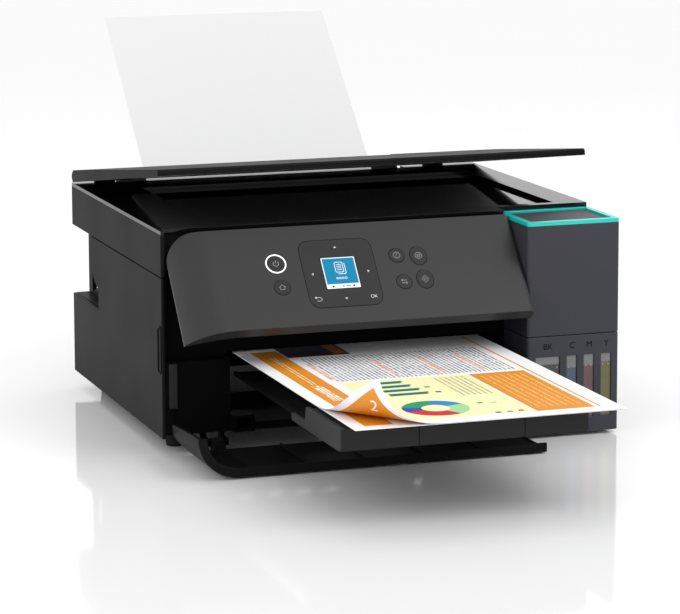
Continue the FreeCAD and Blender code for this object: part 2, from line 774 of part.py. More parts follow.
def tilt_lid(shape):
    shape.rotate(vec(0, lid_pivot_y, lid_pivot_z), vec(-1, 0, 0), lid_open_angle)
    return shape


# control panel ---------------------------------------------------------

def panel_body(inset, back):
    # section across the panel: flat, then curving back towards its left end
    left = panel_left + inset
    radius = panel_bend_radius - inset
    face = panel_face_y + inset
    reach = (panel_bend_x - left) / radius
    angle = math.asin(reach)
    centre_y = face + radius
    end = vec(left, centre_y - radius * math.cos(angle), 0)
    half = vec(panel_bend_x - radius * math.sin(angle / 2), centre_y - radius * math.cos(angle / 2), 0)
    bend = vec(panel_bend_x, face, 0)
    right = panel_right - inset
    edges = [Part.makeLine(vec(right, face, 0), bend), Part.Arc(bend, half, end).toShape(),
             Part.makeLine(end, vec(left, back, 0)), Part.makeLine(vec(left, back, 0), vec(right, back, 0)),
             Part.makeLine(vec(right, back, 0), vec(right, face, 0))]
    section = Part.Face(Part.Wire(edges))
    section.translate(vec(0, 0, panel_low_z - panel_dip - 2))
    tall = section.extrude(vec(0, 0, panel_top_z - panel_low_z + panel_dip + 4))
    return tall.common(panel_outline(inset))


def panel_outline(inset):
    # front view: one large rounded corner, and a lower edge that dips towards the left end
    left = panel_left + inset
    right = panel_right - inset
    top = panel_top_z - inset
    low = panel_low_z + inset
    corner = panel_corner - inset
    diagonal = corner * (1 - math.cos(math.radians(45)))
    y0 = -20.0
    a = vec(left, y0, top - corner)
    b = vec(left + corner, y0, top)
    middle = vec(left + diagonal, y0, top - diagonal)
    dip_end = vec(left, y0, low - panel_dip)
    dip_half = vec((left + panel_bend_x) / 2 - 4, y0, low - panel_dip * 0.55)
    dip_start = vec(panel_bend_x + 22, y0, low)
    edges = [Part.Arc(a, middle, b).toShape(), Part.makeLine(b, vec(right, y0, top)),
             Part.makeLine(vec(right, y0, top), vec(right, y0, low)),
             Part.makeLine(vec(right, y0, low), dip_start), Part.Arc(dip_start, dip_half, dip_end).toShape(),
             Part.makeLine(dip_end, a)]
    return Part.Face(Part.Wire(edges)).extrude(vec(0, 60, 0))


def panel_back_y():
    return panel_face_y + panel_depth


def face_place(x, s):
    return vec(x, panel_face_y, panel_top_z - s)


def key_cylinder(x, s, radius_x, radius_z, y0, y1):
    # a round or oval key, its long axis level or upright
    big = max(radius_x, radius_z)
    small = min(radius_x, radius_z)
    direction = axis_x if radius_x >= radius_z else axis_z
    if abs(big - small) < 1e-6:
        wire = Part.Circle(vec(0, 0, 0), axis_y, big).toShape()
    else:
        ellipse = Part.Ellipse(vec(0, 0, 0), big, small)
        turn = FreeCAD.Rotation(axis_x, 90)
        wire = ellipse.toShape()
        wire.Placement = FreeCAD.Placement(vec(0, 0, 0), turn)
        if direction == axis_z:
            wire.rotate(vec(0, 0, 0), axis_y, 90)
    key = Part.Face(Part.Wire(wire)).extrude(vec(0, y1 - y0, 0))
    key.translate(vec(x, y0, panel_top_z - s))
    return key


round_keys = {
    "power_button": (-99.9, 33.4, 7.4, 7.4),
    "home_button": (-98.9, 54.8, 6.6, 6.6),
    "help_button": (1.5, 32.1, 6.4, 6.4),
    "stop_button": (2.5, 56.4, 6.4, 6.4),
    "mono_start_button": (19.6, 33.6, 7.0, 8.4),
    "colour_start_button": (20.4, 55.2, 7.0, 8.4),
}


def rounded_square(half, corner, y0, y1):
    centre = face_place(display_x, display_s)
    square = block(centre.x - half, centre.x + half, y0, y1, centre.z - half, centre.z + half)
    return rounded(square, corner, lambda e: along(e, axis_y))


def tilt_panel(shape):
    shape.rotate(vec(0, panel_pivot_y, panel_pivot_z), vec(-1, 0, 0), panel_tilt)
    return shape


def control_panel():
    shell = panel_body(0, panel_back_y()).cut(panel_body(panel_skin, panel_back_y() + 5))
    for x, s, rx, rz in round_keys.values():
        shell = shell.cut(key_cylinder(x, s, rx + key_gap, rz + key_gap, panel_face_y - 1, panel_face_y + 4))
    pad_room = rounded_square(pad_half + key_gap, pad_corner + key_gap, panel_face_y - 1, panel_face_y + 4)
    shell = shell.cut(pad_room)
    for x in (arm_left_x, arm_right_x):
        notch = block(x - 0.6, x + arm_width + 0.6, 1.2, panel_back_y() + 1, panel_top_z - 12, panel_top_z + 1)
        shell = shell.cut(notch)
    rib_x = arm_left_x + arm_width + 0.6
    rib = block(rib_x, rib_x + 2.4, panel_face_y + 1, panel_back_y(), panel_top_z - 7.6, panel_top_z - 1)
    pins = [rod_x(arm_left_x, rib_x + 1, panel_pivot_y, panel_pivot_z, pivot_radius),
            rod_x(arm_right_x, panel_right - 1.2, panel_pivot_y, panel_pivot_z, pivot_radius)]
    return tilt_panel(join([shell, rib] + pins))


def panel_back_cover():
    plate = block(-172, 94, panel_back_y() - 2.2, panel_back_y(), panel_low_z + 3.2, panel_top_z - 8)
    rib_low = block(-150, 90, panel_back_y() - 6, panel_back_y() - 2, panel_low_z + 6, panel_low_z + 8)
    rib_high = block(-150, 90, panel_back_y() - 6, panel_back_y() - 2, panel_top_z - 14, panel_top_z - 12)
    board = block(-112, 34, panel_back_y() - 5.4, panel_back_y() - 4.0, panel_low_z + 10, panel_top_z - 16)
    posts = [rod_y(x, panel_back_y() - 4.2, panel_back_y() - 2, panel_top_z - 44, 2.4) for x in (-104.0, 27.0)]
    return tilt_panel(join([plate, rib_low, rib_high, board] + posts))


def round_key(name):
    x, s, rx, rz = round_keys[name]
    face = key_cylinder(x, s, rx, rz, panel_face_y - 0.4, panel_face_y + key_depth)
    skirt_y = panel_face_y + panel_skin + 0.3
    skirt = key_cylinder(x, s, rx + 1.2, rz + 1.2, skirt_y, panel_face_y + key_depth + 0.6)
    return tilt_panel(join([face, skirt]))


def direction_pad():
    face = rounded_square(pad_half, pad_corner, panel_face_y - 0.3, panel_face_y + key_depth)
    skirt = rounded_square(pad_half + 1.6, pad_corner + 1.6, panel_face_y + panel_skin + 0.3,
                           panel_face_y + key_depth + 0.6)
    centre = face_place(display_x, display_s)
    half = display_size / 2 + key_gap
    room = block(centre.x - half, centre.x + half, panel_face_y - 2, panel_face_y + 9,
                 centre.z - half, centre.z + half)
    return tilt_panel(join([face, skirt]).cut(room))


def display():
    centre = face_place(display_x, display_s)
    half = display_size / 2
    glass = block(centre.x - half, centre.x + half, panel_face_y - 0.1, panel_face_y + 2.4,
                  centre.z - half, centre.z + half)
    module = block(centre.x - half + 1, centre.x + half - 1, panel_face_y + 2.3, panel_back_y() - 5.6,
                   centre.z - half + 1, centre.z + half - 1)
    return tilt_panel(join([glass, module]))


# ink tank unit ---------------------------------------------------------

def ink_tank_case():
    outer = block(tank_left, half_width, tank_front, tank_back, tank_bottom, tank_part_line - 0.3)
    outer = rounded(outer, 3.0, lambda e: along(e, axis_z) and e.Vertexes[0].Point.y < 0)
    inner = block(tank_left + wall, half_width - wall, tank_front + wall, tank_back - wall,
                  tank_bottom + wall, tank_part_line + 1)
    shell = outer.cut(inner)
    for x0, x1 in window_spans:
        shell = shell.cut(block(x0, x1, tank_front - 1, tank_front + wall + 0.5, window_low, window_high))
    return shell


def one_tank(x0, x1):
    body = block(x0 + 0.3, x1 - 0.3, tank_front + wall + 0.5, tank_back - wall - 1,
                 tank_bottom + wall + 0.3, tank_height)
    neck = rod_z((x0 + x1) / 2, -6, tank_height - 1, tank_height + 12, 5.0)
    return join([body, neck])


def ink_tanks():
    return Part.makeCompound([one_tank(x0, x1) for x0, x1 in tank_spans])


def tank_caps():
    caps = []
    for x0, x1 in tank_spans:
        x = (x0 + x1) / 2
        cap = rod_z(x, -6, tank_height + 12.1, tank_height + 17, 5.8)
        tab = block(x - 2.5, x + 2.5, -6, 8, tank_height + 15, tank_height + 17)
        caps.append(join([cap, tab]))
    return Part.makeCompound(caps)


def ink_tank_cover():
    low = tank_part_line + 0.3
    top = tank_top - ring_height
    outer = block(tank_left, half_width, tank_front, tank_back, low, top)
    outer = rounded(outer, 3.0, lambda e: along(e, axis_z) and e.Vertexes[0].Point.y < 0)
    inner = block(tank_left + wall, half_width - wall, tank_front + wall, tank_back + 1, low - 1, top - wall)
    shell = outer.cut(inner)
    pad = block(tank_left + ring_width, half_width - ring_width, tank_front + ring_width,
                tank_back - ring_width, top - 0.5, tank_top - 1.6)
    return join([shell, rounded(pad, 2.0, lambda e: along(e, axis_z))])


def accent_ring():
    low = tank_top - ring_height
    outer = block(tank_left, half_width, tank_front, tank_back, low, tank_top)
    outer = rounded(outer, 3.0, lambda e: along(e, axis_z))
    inset = ring_width
    inner = block(tank_left + inset, half_width - inset, tank_front + inset, tank_back - inset,
                  low - 1, tank_top + 1)
    inner = rounded(inner, 2.0, lambda e: along(e, axis_z))
    return outer.cut(inner)


def output_tray():
    # first stage, which slides on the base
    left = tray_left + 3.2
    right = tray_right - 3.2
    plate = block(left, right, -186, 8, 60.5, 63)
    rails = []
    for x in (left, right - 3):
        rails.append(block(x, x + 3, -186, 8, 60.5, tray_rail_top))
    ribs = []
    for k in range(5):
        x = left + 24 + 32 * k
        ribs.append(block(x, x + 2, -180, 2, 62.5, tray_rail_top))
    return join([plate] + rails + ribs)


def tray_extension():
    # second stage, with the stop lip at its front
    floor_top = 60.2
    floor = block(tray_left, tray_right, tray_lip_y + 3, -150, floor_top - 2, floor_top)
    sides = []
    for x in (tray_left, tray_right - 2.6):
        sides.append(prism_x([(tray_lip_y + 2, floor_top - 2), (tray_lip_y + 2, tray_lip_high),
                              (-184, tray_lip_high), (-181, tray_rail_top), (-150, tray_rail_top),
                              (-150, floor_top - 2)], x, x + 2.6))
    lip = block(tray_left, tray_right, tray_lip_y, tray_lip_y + 3, tray_lip_low, tray_lip_high)
    lip = rounded(lip, 2.0, lambda e: along(e, axis_y) and e.Vertexes[0].Point.z < tray_lip_low + 0.1)
    deck = block(tray_left + 1, tray_right - 1, tray_lip_y + 1, -190, tray_lip_high - 2.2, tray_lip_high)
    whole = join([floor, lip, deck] + sides)
    for x in (-70.0, 12.0):
        seam = block(x, x + 0.8, tray_lip_y - 1, tray_lip_y + 1.0, tray_lip_low - 1, tray_lip_high + 1)
        whole = whole.cut(seam)
    return whole


def printed_sheets():
    left = exit_centre_x - sheet_width / 2
    return block(left, left + sheet_width, exit_front_y, exit_front_y + sheet_length, exit_z, exit_z + 0.8)


def cover_leaf(thick, y0, y1):
    # a flat leaf whose left end curls up in a quarter turn
    outer = cover_curl
    inner = cover_curl - thick
    mid = math.sqrt(0.5)
    centre_z = cover_low + outer

    def on_arc(radius, share_x, share_z):
        return vec(cover_bend_x - radius * share_x, y0, centre_z - radius * share_z)

    right_low = vec(cover_right, y0, cover_low)
    right_high = vec(cover_right, y0, cover_low + thick)
    edges = [Part.LineSegment(right_low, on_arc(outer, 0, 1)).toShape(),
             Part.Arc(on_arc(outer, 0, 1), on_arc(outer, mid, mid), on_arc(outer, 1, 0)).toShape(),
             Part.LineSegment(on_arc(outer, 1, 0), on_arc(inner, 1, 0)).toShape(),
             Part.Arc(on_arc(inner, 1, 0), on_arc(inner, mid, mid), on_arc(inner, 0, 1)).toShape(),
             Part.LineSegment(on_arc(inner, 0, 1), right_high).toShape(),
             Part.LineSegment(right_high, right_low).toShape()]
    return Part.Face(Part.Wire(edges)).extrude(vec(0, y1 - y0, 0))


def front_cover():
    # shown open: hinged at the back, with a thicker front edge
    back = cover_hinge_y - 6
    leaf = cover_leaf(2.6, cover_front_y, back)
    nose = cover_leaf(7.0, cover_front_y, cover_front_y + 2.6)
    above_end = prism_x([(back + 1, cover_low + 11), (cover_hinge_y - 16.5, cover_low + 28),
                         (cover_front_y - 1, cover_low + cover_curl + 1), (back + 1, cover_low + cover_curl + 1)],
                        cover_bend_x - cover_curl - 1, cover_bend_x)
    barrels = []
    for x in cover_barrel_x:
        arm = block(x, x + 10, cover_hinge_y - 10, cover_hinge_y, cover_low + 1, cover_hinge_z)
        barrel = rod_x(x, x + 10, cover_hinge_y, cover_hinge_z, 3.4)
        bore = rod_x(x - 1, x + 11, cover_hinge_y, cover_hinge_z, 1.6 + running_gap)
        barrels.append(join([arm, barrel]).cut(bore))
    ribs = []
    for k in range(6):
        x = -140 + 48 * k
        ribs.append(block(x, x + 1.6, cover_front_y + 2, back, cover_low + 2, cover_low + 4))
    return join([join([leaf, nose]).cut(above_end)] + barrels + ribs)


def cover_hinge_lugs():
    group = []
    for x in cover_barrel_x:
        for lug in (x - 4.6, x + 10.6):
            group.append(block(lug, lug + 4, cover_hinge_y - 2.6, 16, cover_hinge_z - 2.8, cover_hinge_z + 2.8))
            group.append(block(lug, lug + 4, 11, 16, cover_hinge_z - 2.8, casing_bottom + 1))
        group.append(rod_x(x - 4.6, x + 14.6, cover_hinge_y, cover_hinge_z, 1.6))
    return group


def build_all():
    os.makedirs("parts", exist_ok=True)
    save("base_pan", base_pan())
    save("left_side_casing", left_side_casing())
    save("right_side_casing", right_side_casing())
    save("rear_casing", screw_holes(rear_casing()))
    save("front_frame", front_frame())
    save("rubber_feet", rubber_feet())
    save("casing_screws", casing_screws())
    save("carriage_frame", carriage_frame())
    save("carriage_rail", carriage_rail())
    save("print_carriage", print_carriage())
    save("print_head", print_head())
    save("motor_pulley", pulley(pulley_left_x))
    save("idler_pulley", pulley(pulley_right_x))
    save("carriage_belt", carriage_belt())
    save("carriage_motor", carriage_motor())
    save("platen", platen())
    save("capping_station", capping_station())
    save("feed_roller", feed_roller())
    save("feed_gear", feed_gear())
    save("eject_roller", eject_roller())
    save("eject_gear", eject_gear())
    save("idler_gear", idler_gear())
    save("gear_plate", gear_plate())
    save("pickup_roller", pickup_roller())
    save("feed_motor", feed_motor())
    save("main_board", main_board())
    save("power_supply", power_supply())
    save("power_inlet", power_inlet())
    save("rear_sheet", rear_sheet())
    save("feeder_chute", feeder_chute())
    save("paper_support", paper_support())
    save("left_edge_guide", edge_guide(-1))
    save("right_edge_guide", edge_guide(1))
    save("scanner_housing", scanner_housing())
    save("scanner_bezel", scanner_bezel())
    save("platen_glass", platen_glass())
    save("scan_bar", scan_bar())
    save("scan_rail", scan_rail())
    save("scanner_lid", scanner_lid())
    save("document_mat", document_mat())
    save("lid_hinges", lid_hinges())
    save("control_panel", control_panel())
    save("panel_back_cover", panel_back_cover())
    save("display", display())
    save("direction_pad", direction_pad())
    for name in round_keys:
        save(name, round_key(name))
    save("ink_tank_case", ink_tank_case())
    save("ink_tanks", ink_tanks())
    save("tank_caps", tank_caps())
    save("ink_tank_cover", ink_tank_cover())
    save("accent_ring", accent_ring())
    save("output_tray", output_tray())
    save("tray_extension", tray_extension())
    save("printed_sheets", printed_sheets())
    save("front_cover", front_cover())


build_all()
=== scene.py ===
import json
import math

import bmesh
import bpy
from mathutils import Matrix, Vector


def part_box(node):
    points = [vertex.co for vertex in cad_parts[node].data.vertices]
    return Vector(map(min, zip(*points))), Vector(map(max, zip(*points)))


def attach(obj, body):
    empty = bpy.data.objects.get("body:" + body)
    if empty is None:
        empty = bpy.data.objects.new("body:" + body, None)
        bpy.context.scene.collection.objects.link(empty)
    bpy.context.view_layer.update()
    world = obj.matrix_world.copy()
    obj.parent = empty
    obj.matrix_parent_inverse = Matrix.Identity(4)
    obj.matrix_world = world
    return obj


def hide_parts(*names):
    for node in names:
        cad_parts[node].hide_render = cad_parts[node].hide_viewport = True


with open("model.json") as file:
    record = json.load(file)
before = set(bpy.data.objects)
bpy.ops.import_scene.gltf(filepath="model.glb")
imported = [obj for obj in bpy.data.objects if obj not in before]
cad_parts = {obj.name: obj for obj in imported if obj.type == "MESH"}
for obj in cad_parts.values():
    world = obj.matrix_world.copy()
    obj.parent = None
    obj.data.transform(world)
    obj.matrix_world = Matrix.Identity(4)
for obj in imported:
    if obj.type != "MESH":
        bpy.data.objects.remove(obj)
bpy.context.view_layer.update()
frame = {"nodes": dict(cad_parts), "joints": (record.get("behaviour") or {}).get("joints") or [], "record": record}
mm = 0.001
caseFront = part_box("left_side_casing")[0].y  # the plane of the casing's front face
joints = {joint["name"]: joint for joint in frame["joints"]}


def spot(x, y, z):
    # millimetres: across from the middle, back from the casing's front, up from the table
    return Vector((x * mm, caseFront + y * mm, z * mm))


def boxOf(node):
    # a node's box in the same millimetres as spot
    low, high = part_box(node)
    return [low.x / mm, (low.y - caseFront) / mm, low.z / mm, high.x / mm, (high.y - caseFront) / mm, high.z / mm]


# finishes: each is a small node tree with its own grain

class Value:
    # one output in a finish; arithmetic on it adds Math nodes
    def __init__(self, finish, socket):
        self.finish = finish
        self.socket = socket

    def math(self, operation, first, second=None):
        return self.finish.node("ShaderNodeMath", {"operation": operation}, [first, second])

    def __add__(self, other):
        return self.math("ADD", self, other)

    def __radd__(self, other):
        return self.math("ADD", other, self)

    def __sub__(self, other):
        return self.math("SUBTRACT", self, other)

    def __rsub__(self, other):
        return self.math("SUBTRACT", other, self)

    def __mul__(self, other):
        return self.math("MULTIPLY", self, other)

    def __rmul__(self, other):
        return self.math("MULTIPLY", other, self)

    def __truediv__(self, other):
        return self.math("DIVIDE", self, other)

    def __rtruediv__(self, other):
        return self.math("DIVIDE", other, self)

    def __mod__(self, other):
        return self.math("MODULO", self, other)

    def __gt__(self, other):
        return self.math("GREATER_THAN", self, other)

    def __lt__(self, other):
        return self.math("LESS_THAN", self, other)

    def larger(self, other):
        return self.math("MAXIMUM", self, other)

    def smaller(self, other):
        return self.math("MINIMUM", self, other)


class Finish:
    def __init__(self, name):
        self.material = bpy.data.materials.new(name)
        self.material.use_nodes = True
        self.tree = self.material.node_tree
        self.tree.nodes.clear()
        self.end = self.tree.nodes.new("ShaderNodeOutputMaterial")

    def node(self, kind, settings=None, sockets=None, out=0):
        made = self.tree.nodes.new(kind)
        for key, value in (settings or {}).items():
            setattr(made, key, value)
        pairs = enumerate(sockets) if isinstance(sockets, (list, tuple)) else (sockets or {}).items()
        for key, value in pairs:
            if isinstance(value, Value):
                self.tree.links.new(value.socket, made.inputs[key])
            elif value is not None:
                made.inputs[key].default_value = value
        return Value(self, made.outputs[out])

    def mix(self, share, first, second):
        return self.node("ShaderNodeMix", {"data_type": "RGBA"}, {0: share, 6: first, 7: second}, out=2)

    def noise(self, scale, detail=3.0, place=None):
        place = place or self.node("ShaderNodeTexCoord", out=3)
        return self.node("ShaderNodeTexNoise", {}, {"Vector": place, "Scale": scale, "Detail": detail})

    def bump(self, height, depth, strength=0.5):
        return self.node("ShaderNodeBump", {}, {"Height": height, "Distance": depth, "Strength": strength})

    def shade(self, **sockets):
        named = {key.replace("_", " "): value for key, value in sockets.items()}
        surface = self.node("ShaderNodeBsdfPrincipled", {}, named)
        self.tree.links.new(surface.socket, self.end.inputs["Surface"])
        return self.material


def tone(colour, share=1.0):
    return (colour[0] * share, colour[1] * share, colour[2] * share, 1.0)


def plastic(name, colour, rough, grain=1500.0, depth=0.00005, strength=0.35, coat=0.0, specular=0.5):
    finish = Finish(name)
    broad = finish.noise(11.0, 4.0)
    fine = finish.noise(grain, 2.0)
    base = finish.mix(broad * 0.6 + fine * 0.4, tone(colour, 0.82), tone(colour, 1.18))
    roughness = rough + (broad - 0.5) * 0.16 + (fine - 0.5) * 0.10
    return finish.shade(Base_Color=base, Roughness=roughness, Coat_Weight=coat, Coat_Roughness=0.08,
                        Specular_IOR_Level=specular, Normal=finish.bump(fine, depth, strength))


def metal(name, colour, rough, streak=900.0):
    finish = Finish(name)
    place = finish.node("ShaderNodeTexCoord", out=3)
    along = finish.node("ShaderNodeVectorMath", {"operation": "MULTIPLY"}, [place, (0.06, 1.0, 1.0)])
    lines = finish.noise(streak, 2.0, along)
    broad = finish.noise(30.0, 3.0)
    base = finish.mix(broad, tone(colour, 0.8), tone(colour, 1.15))
    return finish.shade(Base_Color=base, Metallic=1.0, Roughness=rough + lines * 0.18,
                        Normal=finish.bump(lines, 0.00002, 0.4))


def board(name):
    finish = Finish(name)
    place = finish.node("ShaderNodeTexCoord", out=3)
    tracks = finish.node("ShaderNodeTexBrick", {}, {"Vector": place, "Scale": 160.0, "Mortar Size": 0.03}, out=1)
    base = finish.mix(tracks, (0.008, 0.07, 0.03, 1), (0.02, 0.16, 0.07, 1))
    return finish.shade(Base_Color=base, Roughness=0.4 + finish.noise(200.0) * 0.1)


def glow(name, colour, strength):
    finish = Finish(name)
    level = finish.noise(60.0, 1.0)
    base = finish.mix(level, tone(colour, 0.94), tone(colour, 1.0))
    return finish.shade(Base_Color=base, Emission_Color=base, Emission_Strength=strength, Roughness=0.3,
                        Specular_IOR_Level=0.1)


caseBlack = plastic("caseBlack", (0.0095, 0.0095, 0.0102), 0.40, 1900.0, 0.00006, 0.4, specular=0.022)
frameBlack = plastic("frameBlack", (0.0036, 0.0036, 0.004), 0.46, 1500.0, 0.00006, 0.4, specular=0.02)
bezelBlack = plastic("bezelBlack", (0.003, 0.003, 0.0035), 0.12, 900.0, 0.00001, 0.1, coat=0.15, specular=0.2)
glassDark = plastic("glassDark", (0.002, 0.002, 0.0025), 0.04, 400.0, 0.000004, 0.05, coat=0.2, specular=0.3)
panelGrey = plastic("panelGrey", (0.028, 0.028, 0.0285), 0.36, 1700.0, 0.00003, 0.25, specular=0.22)
# a lighter copy of the panel grey: painted highlight for the slanted strip at the panel's right end
panelPaintedHighlight = plastic("panelPaintedHighlight", (0.050, 0.050, 0.0515), 0.35, 1700.0, 0.00002, 0.2, specular=0.2)
keyGrey = plastic("keyGrey", (0.024, 0.024, 0.0245), 0.38, 1700.0, 0.00002, 0.2, specular=0.16)
tankGrey = plastic("tankGrey", (0.040, 0.041, 0.050), 0.40, 1700.0, 0.00003, 0.25, specular=0.22)
trayBlack = plastic("trayBlack", (0.020, 0.020, 0.021), 0.45, 700.0, 0.00012, 0.5, specular=0.12)
teal = plastic("teal", (0.0, 0.52, 0.46), 0.22, 900.0, 0.00001, 0.1, coat=0.3)
mechGrey = plastic("mechGrey", (0.05, 0.05, 0.053), 0.5, specular=0.25)
gearWhite = plastic("gearWhite", (0.55, 0.53, 0.48), 0.45)
capWhite = plastic("capWhite", (0.40, 0.40, 0.41), 0.4)
matGrey = plastic("matGrey", (0.62, 0.62, 0.63), 0.7, 500.0, 0.0001, 0.4)
rubberBlack = plastic("rubberBlack", (0.010, 0.010, 0.010), 0.8, 600.0, 0.0001, 0.6, specular=0.2)
printGrey = plastic("printGrey", (0.27, 0.27, 0.28), 0.6)
printDark = plastic("printDark", (0.004, 0.004, 0.005), 0.6, specular=0.05)
# white print for the direction pad, made to glow faintly though it is no lamp: painted highlight
printPaintedGlow = glow("printPaintedGlow", (0.50, 0.50, 0.52), 0.25)
steel = metal("steel", (0.45, 0.45, 0.47), 0.28)
# a darker copy of the steel for the frame parts inside the printer: painted shade for the dark inside
innerSteelShaded = metal("innerSteelShaded", (0.10, 0.10, 0.105), 0.35)
motorSteel = metal("motorSteel", (0.3, 0.3, 0.31), 0.3)
boardGreen = board("boardGreen")
ringWhite = glow("ringWhite", (0.9, 0.9, 0.9), 0.8)
screenBlue = glow("screenBlue", (0.003, 0.15, 0.27), 0.6)
screenWhite = glow("screenWhite", (0.62, 0.62, 0.62), 0.5)
print("finishes made")


# mesh helpers

def toPiece(mesh, name, finish, body, slotName, replaced=(), angle=35.0):
    for polygon in mesh.polygons:
        polygon.use_smooth = True
    mesh.set_sharp_from_angle(angle=math.radians(angle))
    if finish:
        mesh.materials.append(finish)
    piece = bpy.data.objects.new(name, mesh)
    bpy.context.scene.collection.objects.link(piece)
    facing = piece.modifiers.new("facing", "WEIGHTED_NORMAL")  # keeps the broad faces flat beside rounded edges
    facing.keep_sharp = True
    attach(piece, body)
    if replaced:
        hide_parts(*replaced)
    return piece


def fromBmesh(work, name):
    bmesh.ops.recalc_face_normals(work, faces=work.faces)
    mesh = bpy.data.meshes.new(name)
    work.to_mesh(mesh)
    work.free()
    return mesh


def softenEdges(work, width, segments=2, least=32.0):
    sharp = [edge for edge in work.edges
             if len(edge.link_faces) == 2 and edge.calc_face_angle(0) > math.radians(least)]
    bmesh.ops.bevel(work, geom=sharp, offset=width, offset_type="OFFSET", segments=segments,
                    profile=0.5, affect="EDGES", clamp_overlap=True)


def cleanCopy(node, dissolve=True):
    work = bmesh.new()
    work.from_mesh(frame["nodes"][node].data)
    bmesh.ops.remove_doubles(work, verts=work.verts, dist=0.000002)
    if dissolve:
        bmesh.ops.dissolve_limit(work, angle_limit=math.radians(1.0), verts=work.verts, edges=work.edges,
                                 delimit={"NORMAL"})
    return work


slots = {row["node"]: row["material_slot"] for row in frame["record"]["subparts"]}
bodyOf = {node: body for body, members in frame["record"]["behaviour"]["bodies"].items() for node in members}


def dress(node, finish, width, shape=None, dissolve=True):
    # the same piece with its edges softened, standing for the plain one
    work = cleanCopy(node, dissolve)
    if shape:
        shape(work)
    softenEdges(work, width * mm)
    name = "shell_" + node
    return toPiece(fromBmesh(work, name), name, finish, bodyOf[node], slots[node], [node])


def bar(name, low, high, radius, finish, body, slotName):
    # a moulded bar or plate between two corners, its edges rounded
    work = bmesh.new()
    bmesh.ops.create_cube(work, size=1.0)
    for vert in work.verts:
        vert.co = Vector([low[k] if vert.co[k] < 0 else high[k] for k in range(3)])
    bmesh.ops.bevel(work, geom=work.edges[:], offset=radius * mm, segments=4, profile=0.5, affect="EDGES")
    return toPiece(fromBmesh(work, name), name, finish, body, slotName)


def roundedOutline(x0, y0, x1, y1, radius, steps=6):
    points = []
    corners = ((x1 - radius, y1 - radius, 0), (x0 + radius, y1 - radius, 90),
               (x0 + radius, y0 + radius, 180), (x1 - radius, y0 + radius, 270))
    for x, y, start in corners:
        for k in range(steps + 1):
            a = math.radians(start + 90 * k / steps)
            points.append((x + radius * math.cos(a), y + radius * math.sin(a)))
    return points


class Sketch:
    # flat marks drawn in millimetres and then laid on a surface as thin raised shapes
    def __init__(self):
        self.work = bmesh.new()

    def fill(self, points):
        self.work.faces.new([self.work.verts.new((x, y, 0)) for x, y in points])
        return self

    def frameOf(self, outer, inner):
        outside = [self.work.verts.new((x, y, 0)) for x, y in outer]
        inside = [self.work.verts.new((x, y, 0)) for x, y in inner]
        for k in range(len(outer)):
            n = (k + 1) % len(outer)
            self.work.faces.new((outside[k], outside[n], inside[n], inside[k]))
        return self

    def stroke(self, points, width, closed=False):
        count = len(points)
        sides = []
        for k in range(count):
            before = points[k - 1] if (k or closed) else points[k]
            after = points[(k + 1) % count] if (k < count - 1 or closed) else points[k]
            run = Vector((after[0] - before[0], after[1] - before[1])).normalized()
            across = Vector((-run.y, run.x)) * width / 2
            sides.append([self.work.verts.new((points[k][0] + s * across.x, points[k][1] + s * across.y, 0))
                          for s in (1, -1)])
        for k in range(count if closed else count - 1):
            a, b = sides[k], sides[(k + 1) % count]
            self.work.faces.new((a[0], b[0], b[1], a[1]))
        return self

    def arc(self, x, y, radius, width, start=0, end=360, tall=1.0):
        steps = max(8, int(abs(end - start) / 9))
        whole = abs(end - start) >= 359.9
        points = []
        for k in range(steps if whole else steps + 1):
            a = math.radians(start + (end - start) * k / steps)
            points.append((x + radius * math.cos(a), y + radius * tall * math.sin(a)))
        return self.stroke(points, width, closed=whole)

    def disc(self, x, y, radius, sides=20):
        return self.fill([(x + radius * math.cos(2 * math.pi * k / sides),
                           y + radius * math.sin(2 * math.pi * k / sides)) for k in range(sides)])

    def words(self, text, size, x, y, turn=0.0):
        curve = bpy.data.curves.new("words", "FONT")
        curve.body = text
        curve.size = size
        curve.align_x = "CENTER"
        curve.align_y = "CENTER"
        holder = bpy.data.objects.new("words", curve)
        bpy.context.scene.collection.objects.link(holder)
        bpy.context.view_layer.update()
        flat = bpy.data.meshes.new_from_object(holder)
        flat.transform(Matrix.Translation((x, y, 0)) @ Matrix.Rotation(math.radians(turn), 4, "Z"))
        self.work.from_mesh(flat)
        bpy.data.objects.remove(holder)
        bpy.data.meshes.remove(flat)
        return self

    def lay(self, name, place, low, high, finish, body, slotName):
        bmesh.ops.remove_doubles(self.work, verts=self.work.verts, dist=0.0001)
        for vert in self.work.verts:
            vert.co.z = 0
        raised = bmesh.ops.extrude_face_region(self.work, geom=self.work.faces[:], use_keep_orig=True)
        for vert in [item for item in raised["geom"] if isinstance(item, bmesh.types.BMVert)]:
            vert.co.z = 1
        for vert in self.work.verts:
            vert.co = place(vert.co.x, vert.co.y, low + vert.co.z * (high - low))
        return toPiece(fromBmesh(self.work, name), name, finish, body, slotName, angle=25)


# casings, frames and works: the plain pieces with softened edges

